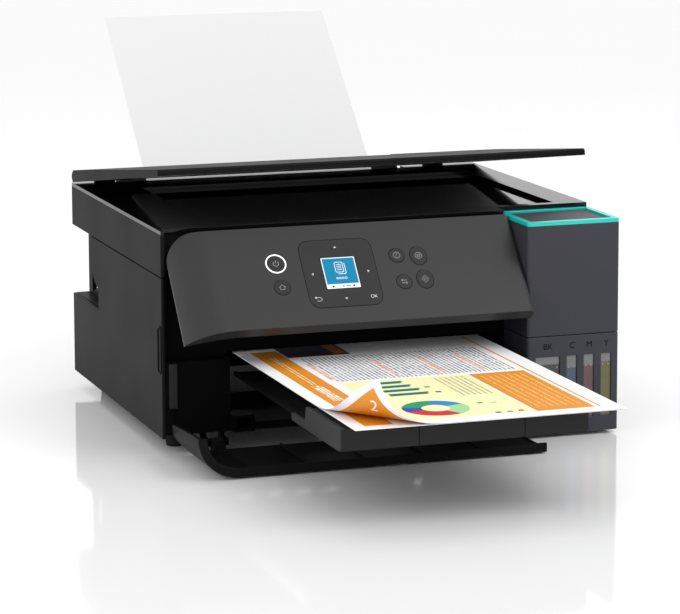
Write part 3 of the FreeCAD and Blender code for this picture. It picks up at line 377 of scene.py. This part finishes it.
plainPieces = {  # node: (finish, edge radius in millimetres)
    "left_side_casing": (caseBlack, 0.9), "right_side_casing": (caseBlack, 0.9), "rear_casing": (caseBlack, 0.5),
    "base_pan": (frameBlack, 0.4), "front_frame": (frameBlack, 0.4), "rubber_feet": (rubberBlack, 0.6),
    # carriage_frame and gear_plate take the darker steel copy, painted shade
    "casing_screws": (steel, 0.2), "carriage_frame": (innerSteelShaded, 0.2), "carriage_rail": (steel, 0.3),
    "print_carriage": (mechGrey, 0.4), "print_head": (steel, 0.3), "motor_pulley": (gearWhite, 0.2),
    "idler_pulley": (gearWhite, 0.2), "carriage_belt": (rubberBlack, 0.15), "carriage_motor": (motorSteel, 0.3),
    "platen": (frameBlack, 0.3), "capping_station": (mechGrey, 0.4), "feed_roller": (rubberBlack, 0.3),
    "feed_gear": (gearWhite, 0.15), "eject_roller": (frameBlack, 0.3), "eject_gear": (gearWhite, 0.15),
    "idler_gear": (gearWhite, 0.15), "gear_plate": (innerSteelShaded, 0.2), "pickup_roller": (rubberBlack, 0.4),
    "feed_motor": (motorSteel, 0.3), "main_board": (boardGreen, 0.15), "power_supply": (mechGrey, 0.5),
    "power_inlet": (frameBlack, 0.3), "feeder_chute": (caseBlack, 0.4), "paper_support": (caseBlack, 0.4),
    "left_edge_guide": (caseBlack, 0.4), "right_edge_guide": (caseBlack, 0.4),
    "scanner_housing": (caseBlack, 0.6), "scanner_bezel": (bezelBlack, 0.5), "platen_glass": (glassDark, 0.2),
    "scan_bar": (mechGrey, 0.3), "scan_rail": (steel, 0.3), "lid_hinges": (caseBlack, 0.3),
    "document_mat": (matGrey, 0.3), "panel_back_cover": (frameBlack, 0.5), "ink_tank_case": (tankGrey, 0.7),
    "ink_tanks": (mechGrey, 0.5), "tank_caps": (capWhite, 0.4), "ink_tank_cover": (tankGrey, 0.7),
    "accent_ring": (teal, 0.9), "output_tray": (frameBlack, 0.4), "tray_extension": (trayBlack, 0.7),
    "front_cover": (caseBlack, 0.9), "direction_pad": (keyGrey, 0.3), "display": (frameBlack, 0.2),
    "power_button": (keyGrey, 0.3), "home_button": (keyGrey, 0.3), "help_button": (keyGrey, 0.3),
    "stop_button": (keyGrey, 0.3), "mono_start_button": (keyGrey, 0.3), "colour_start_button": (keyGrey, 0.3),
}
for node, (finish, width) in plainPieces.items():
    dress(node, finish, width)
dress("scanner_lid", caseBlack, 0.8, dissolve=False)
print("casings and works dressed")


# control panel

panelJoint = joints["panel_tilt"]
panelPivot = Vector(panelJoint["pos_m"])
panelOpen = (Matrix.Translation(panelPivot)
             @ Matrix.Rotation(math.radians(-panelJoint["range_deg"][0]), 4, Vector(panelJoint["axis"]))
             @ Matrix.Translation(-panelPivot))
panelClosed = panelOpen.inverted()
panelCorners = [panelClosed @ vert.co for vert in frame["nodes"]["control_panel"].data.vertices]
panelFaceY = min(corner.y for corner in panelCorners)
panelTopZ = max(corner.z for corner in panelCorners)
panelRight = max(corner.x for corner in panelCorners)
displayCorners = [panelClosed @ vert.co for vert in frame["nodes"]["display"].data.vertices]
displayX = (min(c.x for c in displayCorners) + max(c.x for c in displayCorners)) / 2 / mm
displayS = (panelTopZ - (min(c.z for c in displayCorners) + max(c.z for c in displayCorners)) / 2) / mm


def onPanel(x, s, out):
    # millimetres across, down the slope from the panel's top edge, and out from its face
    return panelOpen @ Vector((x * mm, panelFaceY - out * mm, panelTopZ - s * mm))


def onPanelUp(x, y, out):
    # the same with y up the slope, so that letters read the right way
    return onPanel(x, -y, out)


panelShape = {"endChamfer": 3.4}


def chamferEnd(work):
    edges = []
    for edge in work.edges:
        ends = [panelClosed @ vert.co for vert in edge.verts]
        if all(end.x > panelRight - 0.00002 and end.y < panelFaceY + 0.00002 for end in ends):
            edges.append(edge)
    bmesh.ops.bevel(work, geom=edges, offset=panelShape["endChamfer"] * mm, offset_type="OFFSET", segments=1,
                    profile=0.5, affect="EDGES", clamp_overlap=True)


panel = dress("control_panel", panelGrey, 0.5, shape=chamferEnd)
panel.data.materials.append(panelPaintedHighlight)
for polygon in panel.data.polygons:  # painted highlight: the slanted strip at the right end gets a lighter copy of the panel grey where it catches the light
    facing = panelClosed.to_3x3() @ polygon.normal
    centre = panelClosed @ polygon.center
    if centre.x > panelRight - 0.006 and 0.25 < facing.x < 0.95 and facing.y < -0.25:
        polygon.material_index = 1

keys = {}  # name: (across, down) of each key's middle
for name in ("power_button", "home_button", "help_button", "stop_button", "mono_start_button",
             "colour_start_button"):
    corners = [panelClosed @ vert.co for vert in frame["nodes"][name].data.vertices]
    keys[name] = ((min(c.x for c in corners) + max(c.x for c in corners)) / 2 / mm,
                  (panelTopZ - (min(c.z for c in corners) + max(c.z for c in corners)) / 2) / mm)

markHeight = {"low": 0.35, "high": 0.52}  # prints stand on the keys, which are proud of the panel


def keyPrint(name, sketch, finish=printGrey, low=markHeight["low"], high=markHeight["high"]):
    x, s = keys[name]
    sketch.lay("print_" + name, lambda u, v, out: onPanelUp(x + u, -s + v, out), low, high, finish,
               bodyOf[name], slots[name])


ringShape = {"radius": 7.98, "width": 0.95}
ring = Sketch().arc(0, 0, ringShape["radius"], ringShape["width"])
keyX, keyS = keys["power_button"]
ring.lay("power_ring", lambda u, v, out: onPanelUp(keyX + u, -keyS + v, out), 0.02, 0.5, ringWhite,
         "panel", slots["power_button"])
keyPrint("power_button", Sketch().arc(0, 0, 2.2, 0.5, 125, 415).stroke([(0, 0.6), (0, 2.8)], 0.5))
keyPrint("home_button", Sketch().stroke([(-2.6, 0.0), (0, 2.3), (2.6, 0.0)], 0.45)
         .stroke([(-1.8, 0.2), (-1.8, -2.0), (1.8, -2.0), (1.8, 0.2)], 0.45))
keyPrint("help_button", Sketch().arc(0, 0, 2.7, 0.4).words("?", 4.2, 0, 0))
keyPrint("mono_start_button", Sketch().arc(0, 0, 2.7, 0.4)
         .stroke(roundedOutline(-1.0, -1.0, 1.0, 1.0, 0.3, 2), 0.4, closed=True))
keyPrint("stop_button", Sketch().stroke([(-2.4, 1.2), (2.4, 1.2)], 0.45).stroke([(-2.4, -1.2), (2.4, -1.2)], 0.45)
         .fill([(-2.7, 1.2), (-1.2, 2.4), (-1.2, 0.0)]).fill([(2.7, -1.2), (1.2, -2.4), (1.2, 0.0)]))
keyPrint("colour_start_button", Sketch().stroke([(0, 3.2), (2.9, 0), (0, -3.2), (-2.9, 0)], 0.4, closed=True)
         .stroke([(-0.8, -1.3), (-0.8, 1.3), (1.4, 0)], 0.4, closed=True))

padMarks = {"arrow": 1.15, "reach": 23.2, "corner": 23.0}
arrows = Sketch()
for turn in range(4):
    c, s = round(math.cos(turn * math.pi / 2)), round(math.sin(turn * math.pi / 2))
    size, reach = padMarks["arrow"], padMarks["reach"]
    corners = [(reach + size * 0.9, 0), (reach - size * 0.5, size), (reach - size * 0.5, -size)]
    arrows.fill([(u * c - v * s, u * s + v * c) for u, v in corners])
arrows.words("OK", 3.9, padMarks["corner"], -padMarks["corner"])
arrows.stroke([(-25.4, -21.2), (-21.4, -21.2), (-20.4, -22.2), (-20.4, -23.2), (-21.4, -24.2), (-24.6, -24.2)], 0.36)
arrows.fill([(-26.2, -21.2), (-24.6, -20.0), (-24.6, -22.4)])
# the pad's marks use the glowing print, a painted highlight
arrows.lay("print_direction_pad", lambda u, v, out: onPanelUp(displayX + u, -displayS + v, out), 0.25, 0.42,
           printPaintedGlow, "direction_pad", slots["direction_pad"])

screen = {"half": 14.0, "barHeight": 4.0}


def onScreen(u, v, out):
    return onPanelUp(displayX + u, -displayS + v, out)


half = screen["half"]
Sketch().fill(roundedOutline(-half + 0.2, -half + 0.2, half - 0.2, half - 0.2, 0.5, 3)).lay(
    "screen_blue", onScreen, 0.08, 0.20, screenBlue, "panel", "display_blue")
edge = Sketch()
edge.frameOf(roundedOutline(-half, -half, half, half, 0.6, 3),
             roundedOutline(-half + 0.8, -half + 0.8, half - 0.8, half - 0.8, 0.3, 3))
edge.fill([(-half + 0.8, -half + 0.8), (half - 0.8, -half + 0.8), (half - 0.8, -half + screen["barHeight"]),
           (-half + 0.8, -half + screen["barHeight"])])
edge.lay("screen_edge", onScreen, 0.21, 0.30, screenWhite, "panel", "display_blue")
page = Sketch()
page.stroke(roundedOutline(-3.6, 0.6, 3.0, 9.6, 1.0, 3), 0.5, closed=True)
page.stroke([(4.2, 8.6), (4.6, 7.8), (4.6, -0.4), (4.0, -1.0), (-2.0, -1.0)], 0.5)
for k in range(4):
    page.stroke([(-2.2, 7.6 - 1.6 * k), (1.8, 7.6 - 1.6 * k)], 0.45)
for k in range(4):  # a short caption drawn as four small bars
    page.arc(-3.6 + 2.4 * k, -4.8, 0.75, 0.4)
page.lay("screen_page", onScreen, 0.21, 0.30, screenWhite, "panel", "display_blue")
dots = Sketch().disc(-8.5, -12.1, 0.8).disc(0, -12.1, 0.6).disc(8.6, -12.1, 0.8)
dots.stroke([(2.0, -12.1), (6.0, -12.1)], 0.5)
dots.lay("screen_dots", onScreen, 0.31, 0.36, printDark, "panel", "display_blue")
print("control panel made")


# ink tank unit

tankBox = boxOf("ink_tank_case")
windows = {  # ink: (left, right, level, ink tone)
    "BK": (114.5, 135.5, 61.0, (0.030, 0.030, 0.032)),
    "C": (141.7, 150.5, 57.5, (0.045, 0.065, 0.135)),
    "M": (156.8, 165.6, 58.5, (0.115, 0.045, 0.055)),
    "Y": (171.9, 180.7, 60.5, (0.105, 0.098, 0.030)),
}
windowLow, windowHigh = 15.4, 67.0


def inkPane(ink, level, inkTone):
    finish = Finish("pane" + ink)
    place = finish.node("ShaderNodeTexCoord", out=3)
    height = finish.node("ShaderNodeSeparateXYZ", {}, [place], out=2)
    wave = finish.noise(55.0, 2.0, place)
    full = (level * mm + (wave - 0.5) * 0.0012 - height) * 900.0
    share = full.larger(0.0).smaller(1.0)
    smoke = finish.mix(wave, (0.13, 0.13, 0.135, 1), (0.20, 0.20, 0.205, 1))
    liquid = finish.mix(wave, tone(inkTone, 0.85), tone(inkTone, 1.15))
    return finish.shade(Base_Color=finish.mix(share, smoke, liquid), Roughness=0.18 + wave * 0.1, Coat_Weight=0.3)


for ink, (x0, x1, level, inkTone) in windows.items():
    pane = roundedOutline(x0 + 0.05, windowLow + 0.05, x1 - 0.05, windowHigh - 0.05, 0.6, 3)
    Sketch().fill(pane).lay("pane_" + ink, lambda u, v, out: spot(u, tankBox[1] + 2.3 - out, v), 0.0, 0.9,
                            inkPane(ink, level, inkTone), "base", "smoke_window")
    marks = Sketch()
    marks.stroke([(x0 + 1.2, windowLow + 6), (x1 - 1.2, windowLow + 6)], 0.5)
    marks.fill([(x1 - 2.8, windowHigh - 8.5), (x1 - 1.2, windowHigh - 8.5), (x1 - 2.0, windowHigh - 10.5)])
    marks.fill([(x0 + 2.8, windowHigh - 8.5), (x0 + 1.2, windowHigh - 8.5), (x0 + 2.0, windowHigh - 10.5)])
    marks.lay("marks_" + ink, lambda u, v, out: spot(u, tankBox[1] + 1.35 - out, v), 0.0, 0.1, printGrey, "base",
              "smoke_window")
    Sketch().words(ink, 7.0, (x0 + x1) / 2, 75.2).lay(
        "label_" + ink, lambda u, v, out: spot(u, tankBox[1] - out, v), 0.02, 0.14, printDark, "base", "tank_grey")
print("ink tank unit made")


# sheets of paper

pageInk = {"white": ((0.80, 0.80, 0.80, 1), (0.90, 0.90, 0.90, 1)), "cream": (0.86, 0.82, 0.46, 1),
           "orange": ((0.66, 0.23, 0.008, 1), (0.74, 0.28, 0.012, 1)), "smallPrint": (0.09, 0.09, 0.12, 1),
           "heading": (0.72, 0.20, 0.04, 1)}
pageSpan = 300.0  # the page's own coordinates are kept as shares of this many millimetres
chart = {"middle": (79.0, 48.0), "outer": 25.0, "inner": 10.5}


def pageAt(finish):
    # millimetres across and along the page
    place = finish.node("ShaderNodeUVMap", {"uv_map": "page"})
    return (finish.node("ShaderNodeSeparateXYZ", {}, [place]) * pageSpan,
            finish.node("ShaderNodeSeparateXYZ", {}, [place], out=1) * pageSpan)


def pagePrint():
    # one side of a printed leaflet: a band, columns of small print, a chart block and a coloured block
    finish = Finish("pagePrint")
    u, v = pageAt(finish)

    def block(u0, v0, u1, v1):
        return (u > u0) * (u < u1) * (v > v0) * (v < v1)

    def lines(pitch, thick, wordScale, share):
        row = (u - (u % pitch)) * 3.7
        spotAt = finish.node("ShaderNodeCombineXYZ", {}, [row, v * wordScale, 0.0])
        gaps = finish.node("ShaderNodeTexNoise", {}, {"Vector": spotAt, "Scale": 1.0, "Detail": 1.0}) > share
        return ((u % pitch) < thick) * gaps

    fibre = finish.noise(900.0, 3.0)
    colour = finish.mix(fibre, *pageInk["white"])
    orange = finish.mix(fibre, *pageInk["orange"])
    small = lines(3.5, 1.6, 0.8, 0.45)
    colour = finish.mix(block(41, 158, 188, 250) * small, colour, pageInk["smallPrint"])
    for start in (39.0, 90.5, 129.0, 161.0):
        head = block(start, 165, start + 4.2, 228)
        colour = finish.mix(head, colour, (0.86, 0.84, 0.82, 1))
        colour = finish.mix(head * (lines(3.5, 2.9, 1.3, 0.46)), colour, pageInk["heading"])
    colour = finish.mix(block(34, 256, 86, 297), colour, (0.03, 0.02, 0.03, 1))
    colour = finish.mix(block(74, 262, 84, 297), colour, (0.45, 0.17, 0.02, 1))
    colour = finish.mix(block(11, 11, 33, 285), colour, orange)
    colour = finish.mix(block(17, 96, 26, 150) * lines(2.6, 1.9, 0.42, 0.44), colour, (0.9, 0.9, 0.88, 1))
    colour = finish.mix(block(19, 155, 25, 262) * lines(2.8, 1.2, 0.5, 0.44), colour, (0.86, 0.72, 0.52, 1))
    colour = finish.mix(block(41, 14, 143.5, 153), colour, pageInk["cream"])
    colour = finish.mix(block(112, 82, 141, 147) * lines(4.4, 1.5, 0.5, 0.36), colour, (0.35, 0.34, 0.22, 1))
    for k, far in enumerate((145, 131, 117, 103)):
        colour = finish.mix(block(62, far - 7.0, 86 + 2 * k, far - 3.0), colour, (0.01, 0.10, 0.16, 1))
        colour = finish.mix(block(62, far - 3.0, 88 + 2 * k, far + 1.0), colour, (0.0, 0.20, 0.10, 1))
    for x, y, ink in ((99, 119, (0.02, 0.30, 0.18, 1)), (101, 100, (0.03, 0.04, 0.22, 1)),
                      (116, 54, (0.02, 0.30, 0.18, 1)), (126, 52, (0.35, 0.62, 0.30, 1)),
                      (117, 20, (0.03, 0.04, 0.30, 1)), (126, 20, (0.02, 0.30, 0.42, 1)),
                      (135, 21, (0.50, 0.03, 0.02, 1))):
        colour = finish.mix(block(x - 2.2, y - 2.2, x + 2.2, y + 2.2), colour, ink)
    across, along = u - chart["middle"][0], v - chart["middle"][1]
    away = finish.node("ShaderNodeMath", {"operation": "POWER"}, [across * across + along * along, 0.5])
    angle = finish.node("ShaderNodeMath", {"operation": "ARCTAN2"}, [along, across]) * (180 / math.pi)
    donut = (away < chart["outer"]) * (away > chart["inner"])
    colour = finish.mix(donut, colour, (0.32, 0.62, 0.28, 1))
    for low, high, ink in ((20, 82, (0.01, 0.22, 0.55, 1)), (82, 160, (0.0, 0.28, 0.12, 1)),
                           (160, 181, (0.03, 0.04, 0.36, 1)), (-181, -165, (0.03, 0.04, 0.36, 1)),
                           (-165, -62, (0.55, 0.01, 0.02, 1))):
        colour = finish.mix(donut * (angle > low) * (angle < high), colour, ink)
    colour = finish.mix(block(145, 14, 190.5, 151), colour, orange)
    colour = finish.mix(block(151, 26, 186, 142) * lines(5.4, 1.3, 0.5, 0.42), colour, (0.86, 0.50, 0.18, 1))
    colour = finish.mix(block(193.8, 14, 195.6, 291), colour, orange)
    return finish.shade(Base_Color=colour, Roughness=0.55 - fibre * 0.08, Normal=finish.bump(fibre, 0.00002, 0.3))


def plainPaper(name, low, high):
    finish = Finish(name)
    fibre = finish.noise(900.0, 4.0)
    colour = finish.mix(fibre, tone(low), tone(high))
    return finish.shade(Base_Color=colour, Roughness=0.75, Normal=finish.bump(fibre, 0.00003, 0.4))


def paperSheet(name, width, length, thick, columns, rows, place, faceFinish, backFinish, body, slotName, replaced=()):
    # a closed thin sheet; place(u, v) gives a point and the way its face looks
    points, faces, marks = [], [], []
    for side in (1, 0):
        for j in range(rows + 1):
            for i in range(columns + 1):
                u, v = width * i / columns, length * j / rows
                point, out = place(u, v)
                points.append(point + out * thick * (side - 1) * mm)
                marks.append((u / pageSpan, v / pageSpan))
    layer = (columns + 1) * (rows + 1)
    for j in range(rows):
        for i in range(columns):
            a = j * (columns + 1) + i
            faces.append((a, a + 1, a + columns + 2, a + columns + 1))
            faces.append(tuple(layer + n for n in (a + columns + 1, a + columns + 2, a + 1, a)))
    rim = [i for i in range(columns)] + [columns + j * (columns + 1) for j in range(rows)]
    rim += [layer - 1 - i for i in range(columns)] + [(rows - j) * (columns + 1) for j in range(rows)]
    for k, a in enumerate(rim):
        b = rim[(k + 1) % len(rim)]
        faces.append((a, a + layer, b + layer, b))
    mesh = bpy.data.meshes.new(name)
    mesh.from_pydata(points, [], faces)
    mesh.materials.append(faceFinish)
    mesh.materials.append(backFinish)
    top = set(range(layer))
    layerOfMarks = mesh.uv_layers.new(name="page")
    for polygon in mesh.polygons:
        if not all(n in top for n in polygon.vertices):
            polygon.material_index = 1
        for loop in polygon.loop_indices:
            layerOfMarks.data[loop].uv = marks[mesh.loops[loop].vertex_index]
    return toPiece(mesh, name, None, body, slotName, replaced, angle=50)


# painted shade: a darker copy of the same paper white, for the feeder sheet's face
paperShadedWhite = plainPaper("paperShadedWhite", (0.63, 0.63, 0.633), (0.67, 0.67, 0.673))
paperEdge = plainPaper("paperEdge", (0.80, 0.80, 0.80), (0.88, 0.88, 0.88))
leaflet = pagePrint()
outBox = boxOf("printed_sheets")
outSheet = {"width": outBox[3] - outBox[0], "length": outBox[4] - outBox[1], "thick": 0.2}
curl = {"left": 95.0, "front": 74.0, "turn": 2.8, "steps": 80}  # where the crease meets the left and front edges


def flatPlace(height):
    def place(u, v):
        return spot(outBox[0] + u, outBox[1] + v, height), Vector((0, 0, 1))
    return place


creaseRun = math.hypot(curl["left"], curl["front"])
curl["length"] = curl["left"] * curl["front"] / creaseRun  # from the crease to the corner
creaseAcross = Vector((curl["left"] / creaseRun, curl["front"] / creaseRun))  # points away from the curled corner


curlPath = [(0.0, 0.0)]  # how far in and how high, along the curled corner from the crease to its tip
for k in range(curl["steps"]):
    bend = curl["turn"] * ((k + 0.5) / curl["steps"]) ** 2
    step = curl["length"] / curl["steps"]
    curlPath.append((curlPath[-1][0] + step * math.cos(bend), curlPath[-1][1] + step * math.sin(bend)))


def curledPlace(u, v):
    # past the crease the corner rises slowly and then rolls over
    past = -(u * creaseAcross.x + (v - curl["left"]) * creaseAcross.y)
    if past <= 0:
        return spot(outBox[0] + u, outBox[1] + v, outBox[5]), Vector((0, 0, 1))
    along = min(past / curl["length"], 0.99999) * curl["steps"]
    k = int(along)
    run = curlPath[k][0] + (curlPath[k + 1][0] - curlPath[k][0]) * (along - k)
    rise = curlPath[k][1] + (curlPath[k + 1][1] - curlPath[k][1]) * (along - k)
    turn = curl["turn"] * (along / curl["steps"]) ** 2
    shift = past - run
    point = spot(outBox[0] + u + creaseAcross.x * shift, outBox[1] + v + creaseAcross.y * shift, outBox[5] + rise)
    out = Vector((creaseAcross.x * math.sin(turn), creaseAcross.y * math.sin(turn), math.cos(turn)))
    return point, out


def backPrint():
    # the other side of the curled corner: a coloured block inside a white margin
    finish = Finish("backPrint")
    u, v = pageAt(finish)
    fibre = finish.noise(900.0, 3.0)
    colour = finish.mix(fibre, *pageInk["white"])
    block = (u > 5.5) * (u < 200.0) * (v > 5.5) * (v < 92.0)
    colour = finish.mix(block, colour, finish.mix(fibre, *pageInk["orange"]))
    return finish.shade(Base_Color=colour, Roughness=0.55 - fibre * 0.08, Normal=finish.bump(fibre, 0.00002, 0.3))


paperSheet("lower_print", outSheet["width"], outSheet["length"], outSheet["thick"], 24, 34,
           flatPlace(outBox[5] - 0.45), leaflet, paperEdge, "printed_sheets", "paper_white")
paperSheet("upper_print", outSheet["width"], outSheet["length"], outSheet["thick"], 84, 118, curledPlace, leaflet,
           backPrint(), "printed_sheets", "paper_white", ["printed_sheets"])


def onCurlBack(u, v, out):
    point, face = curledPlace(u, v)
    return point - face * (outSheet["thick"] + out) * mm


Sketch().words("2", 13.5, 0, 0, -12).lay(
    "page_number", lambda x, y, out: onCurlBack(17.0 + creaseAcross.y * x - creaseAcross.x * y,
                                                14.5 - creaseAcross.x * x - creaseAcross.y * y, out),
    0.01, 0.06, paperEdge, "printed_sheets", "paper_white")

feedBox = boxOf("rear_sheet")
feedLean = math.atan2(feedBox[5] - feedBox[2], feedBox[4] - feedBox[1])
feedSize = {"width": feedBox[3] - feedBox[0], "length": 297.0, "bow": 1.2}


def feedPlace(u, v):
    # v runs down from the top edge; the free end bows back a little
    free = max(0.0, 1 - v / 150.0)
    out = Vector((0, -math.sin(feedLean), math.cos(feedLean)))
    down = Vector((0, -math.cos(feedLean), -math.sin(feedLean)))
    top = spot(feedBox[0] + u, feedBox[4], feedBox[5])
    return top + (down * v - out * feedSize["bow"] * free * free) * mm, out


# the feeder sheet's face takes the darker paper copy, painted shade
paperSheet("feeder_sheet", feedSize["width"], feedSize["length"], 0.25, 12, 40, feedPlace, paperShadedWhite, paperEdge,
           "rear_sheet", "paper_white", ["rear_sheet"])
print("sheets made")


# trims on the casing

sideBox = boxOf("left_side_casing")
trim = {"ribLeft": -182.0, "ribRight": -175.2, "ribLow": 39.0, "ribHigh": 75.0, "gripLow": 66.0, "gripHigh": 105.0}
bar("left_rib", spot(trim["ribLeft"], -1.5, trim["ribLow"]), spot(trim["ribRight"], 0.9, trim["ribHigh"]), 0.9,
    trayBlack, "base", "case_black")
grip = Sketch().frameOf(roundedOutline(1.6, trim["gripLow"], 11.6, trim["gripHigh"], 4.9, 8),
                         roundedOutline(3.0, trim["gripLow"] + 1.4, 10.2, trim["gripHigh"] - 1.4, 3.5, 8))
grip.lay("side_grip", lambda u, v, out: spot(sideBox[0] - out, u, v), -0.3, 0.8, caseBlack, "base", "case_black")
frameMarks = Sketch()
for z in (44.5, 48.0):
    frameMarks.stroke([(-137.5, z), (-132.4, z)], 0.7)
frameMarks.lay("frame_marks", lambda u, v, out: spot(u, 0.4 - out, v), 0.02, 0.12, printDark, "base", "case_black")
rearBox = boxOf("rear_casing")
Sketch().fill(roundedOutline(-20, 40, 60, 72, 2.0, 4)).lay(
    "blank_plate", lambda u, v, out: spot(-u, rearBox[4] + out, v), 0.02, 0.35, mechGrey, "base", "mechanism_grey")
print("trims made")


# floor, light and camera

def floorFinish():
    finish = Finish("floorPale")
    broad = finish.noise(2.5, 2.0)
    base = finish.mix(broad, (0.89, 0.89, 0.89, 1), (0.91, 0.91, 0.91, 1))
    return finish.shade(Base_Color=base, Roughness=0.06 + broad * 0.03, Specular_IOR_Level=1.0)


floorMesh = bpy.data.meshes.new("floor")
reach = 9.0
floorMesh.from_pydata([(-reach, -reach, 0), (reach, -reach, 0), (reach, reach, 0), (-reach, reach, 0)], [],
                      [(0, 1, 2, 3)])
floorMesh.materials.append(floorFinish())
floor = bpy.data.objects.new("floor", floorMesh)
bpy.context.scene.collection.objects.link(floor)

world = bpy.data.worlds.new("studio")
bpy.context.scene.world = world
bpy.context.scene.view_settings.view_transform = "Standard"
world.use_nodes = True
world.node_tree.nodes["Background"].inputs[0].default_value = (1.0, 1.0, 1.0, 1)
world.node_tree.nodes["Background"].inputs[1].default_value = 1.0


def softbox(name, place, target, width, height, power):
    lamp = bpy.data.lights.new(name, "AREA")
    lamp.shape = "RECTANGLE"
    lamp.size = width
    lamp.size_y = height
    lamp.energy = power
    holder = bpy.data.objects.new(name, lamp)
    bpy.context.scene.collection.objects.link(holder)
    holder.location = place
    holder.rotation_mode = "QUATERNION"
    holder.rotation_quaternion = (Vector(target) - Vector(place)).to_track_quat("-Z", "Y")


lamps = {  # name: (place, aimed at, width, height, watts)
    "keyBox": ((0.9, -1.3, 1.6), (0, -0.05, 0.1), 1.2, 0.9, 12),
    "leftBox": ((-1.5, -0.6, 0.9), (0, 0, 0.1), 0.4, 1.2, 7),
    "topBox": ((0.0, 0.3, 1.9), (0, 0, 0.1), 1.6, 1.0, 5),
}
for name, lamp in lamps.items():
    softbox(name, *lamp)

view = {"azimuth": -18.609, "elevation": 8.325, "roll": -0.219, "place": (-812.8, -2241.1, 556.5), "lens": 159.28,
        "shiftX": 0.0337, "shiftY": -0.1775}
lens = bpy.data.cameras.new("camera")
lens.sensor_width = 36.0
lens.lens = view["lens"]
lens.shift_x = view["shiftX"]
lens.shift_y = view["shiftY"]
lens.clip_start = 0.05
lens.clip_end = 60.0
camera = bpy.data.objects.new("camera", lens)
bpy.context.scene.collection.objects.link(camera)
a, e, r = (math.radians(view[key]) for key in ("azimuth", "elevation", "roll"))
back = Vector((math.sin(a) * math.cos(e), -math.cos(a) * math.cos(e), math.sin(e)))
right = Vector((0, 0, 1)).cross(back).normalized()
up = back.cross(right)
turned = Matrix((right * math.cos(r) + up * math.sin(r), up * math.cos(r) - right * math.sin(r), back)).transposed()
camera.matrix_world = Matrix.Translation(spot(*view["place"])) @ turned.to_4x4()
bpy.context.scene.camera = camera
print("studio made")
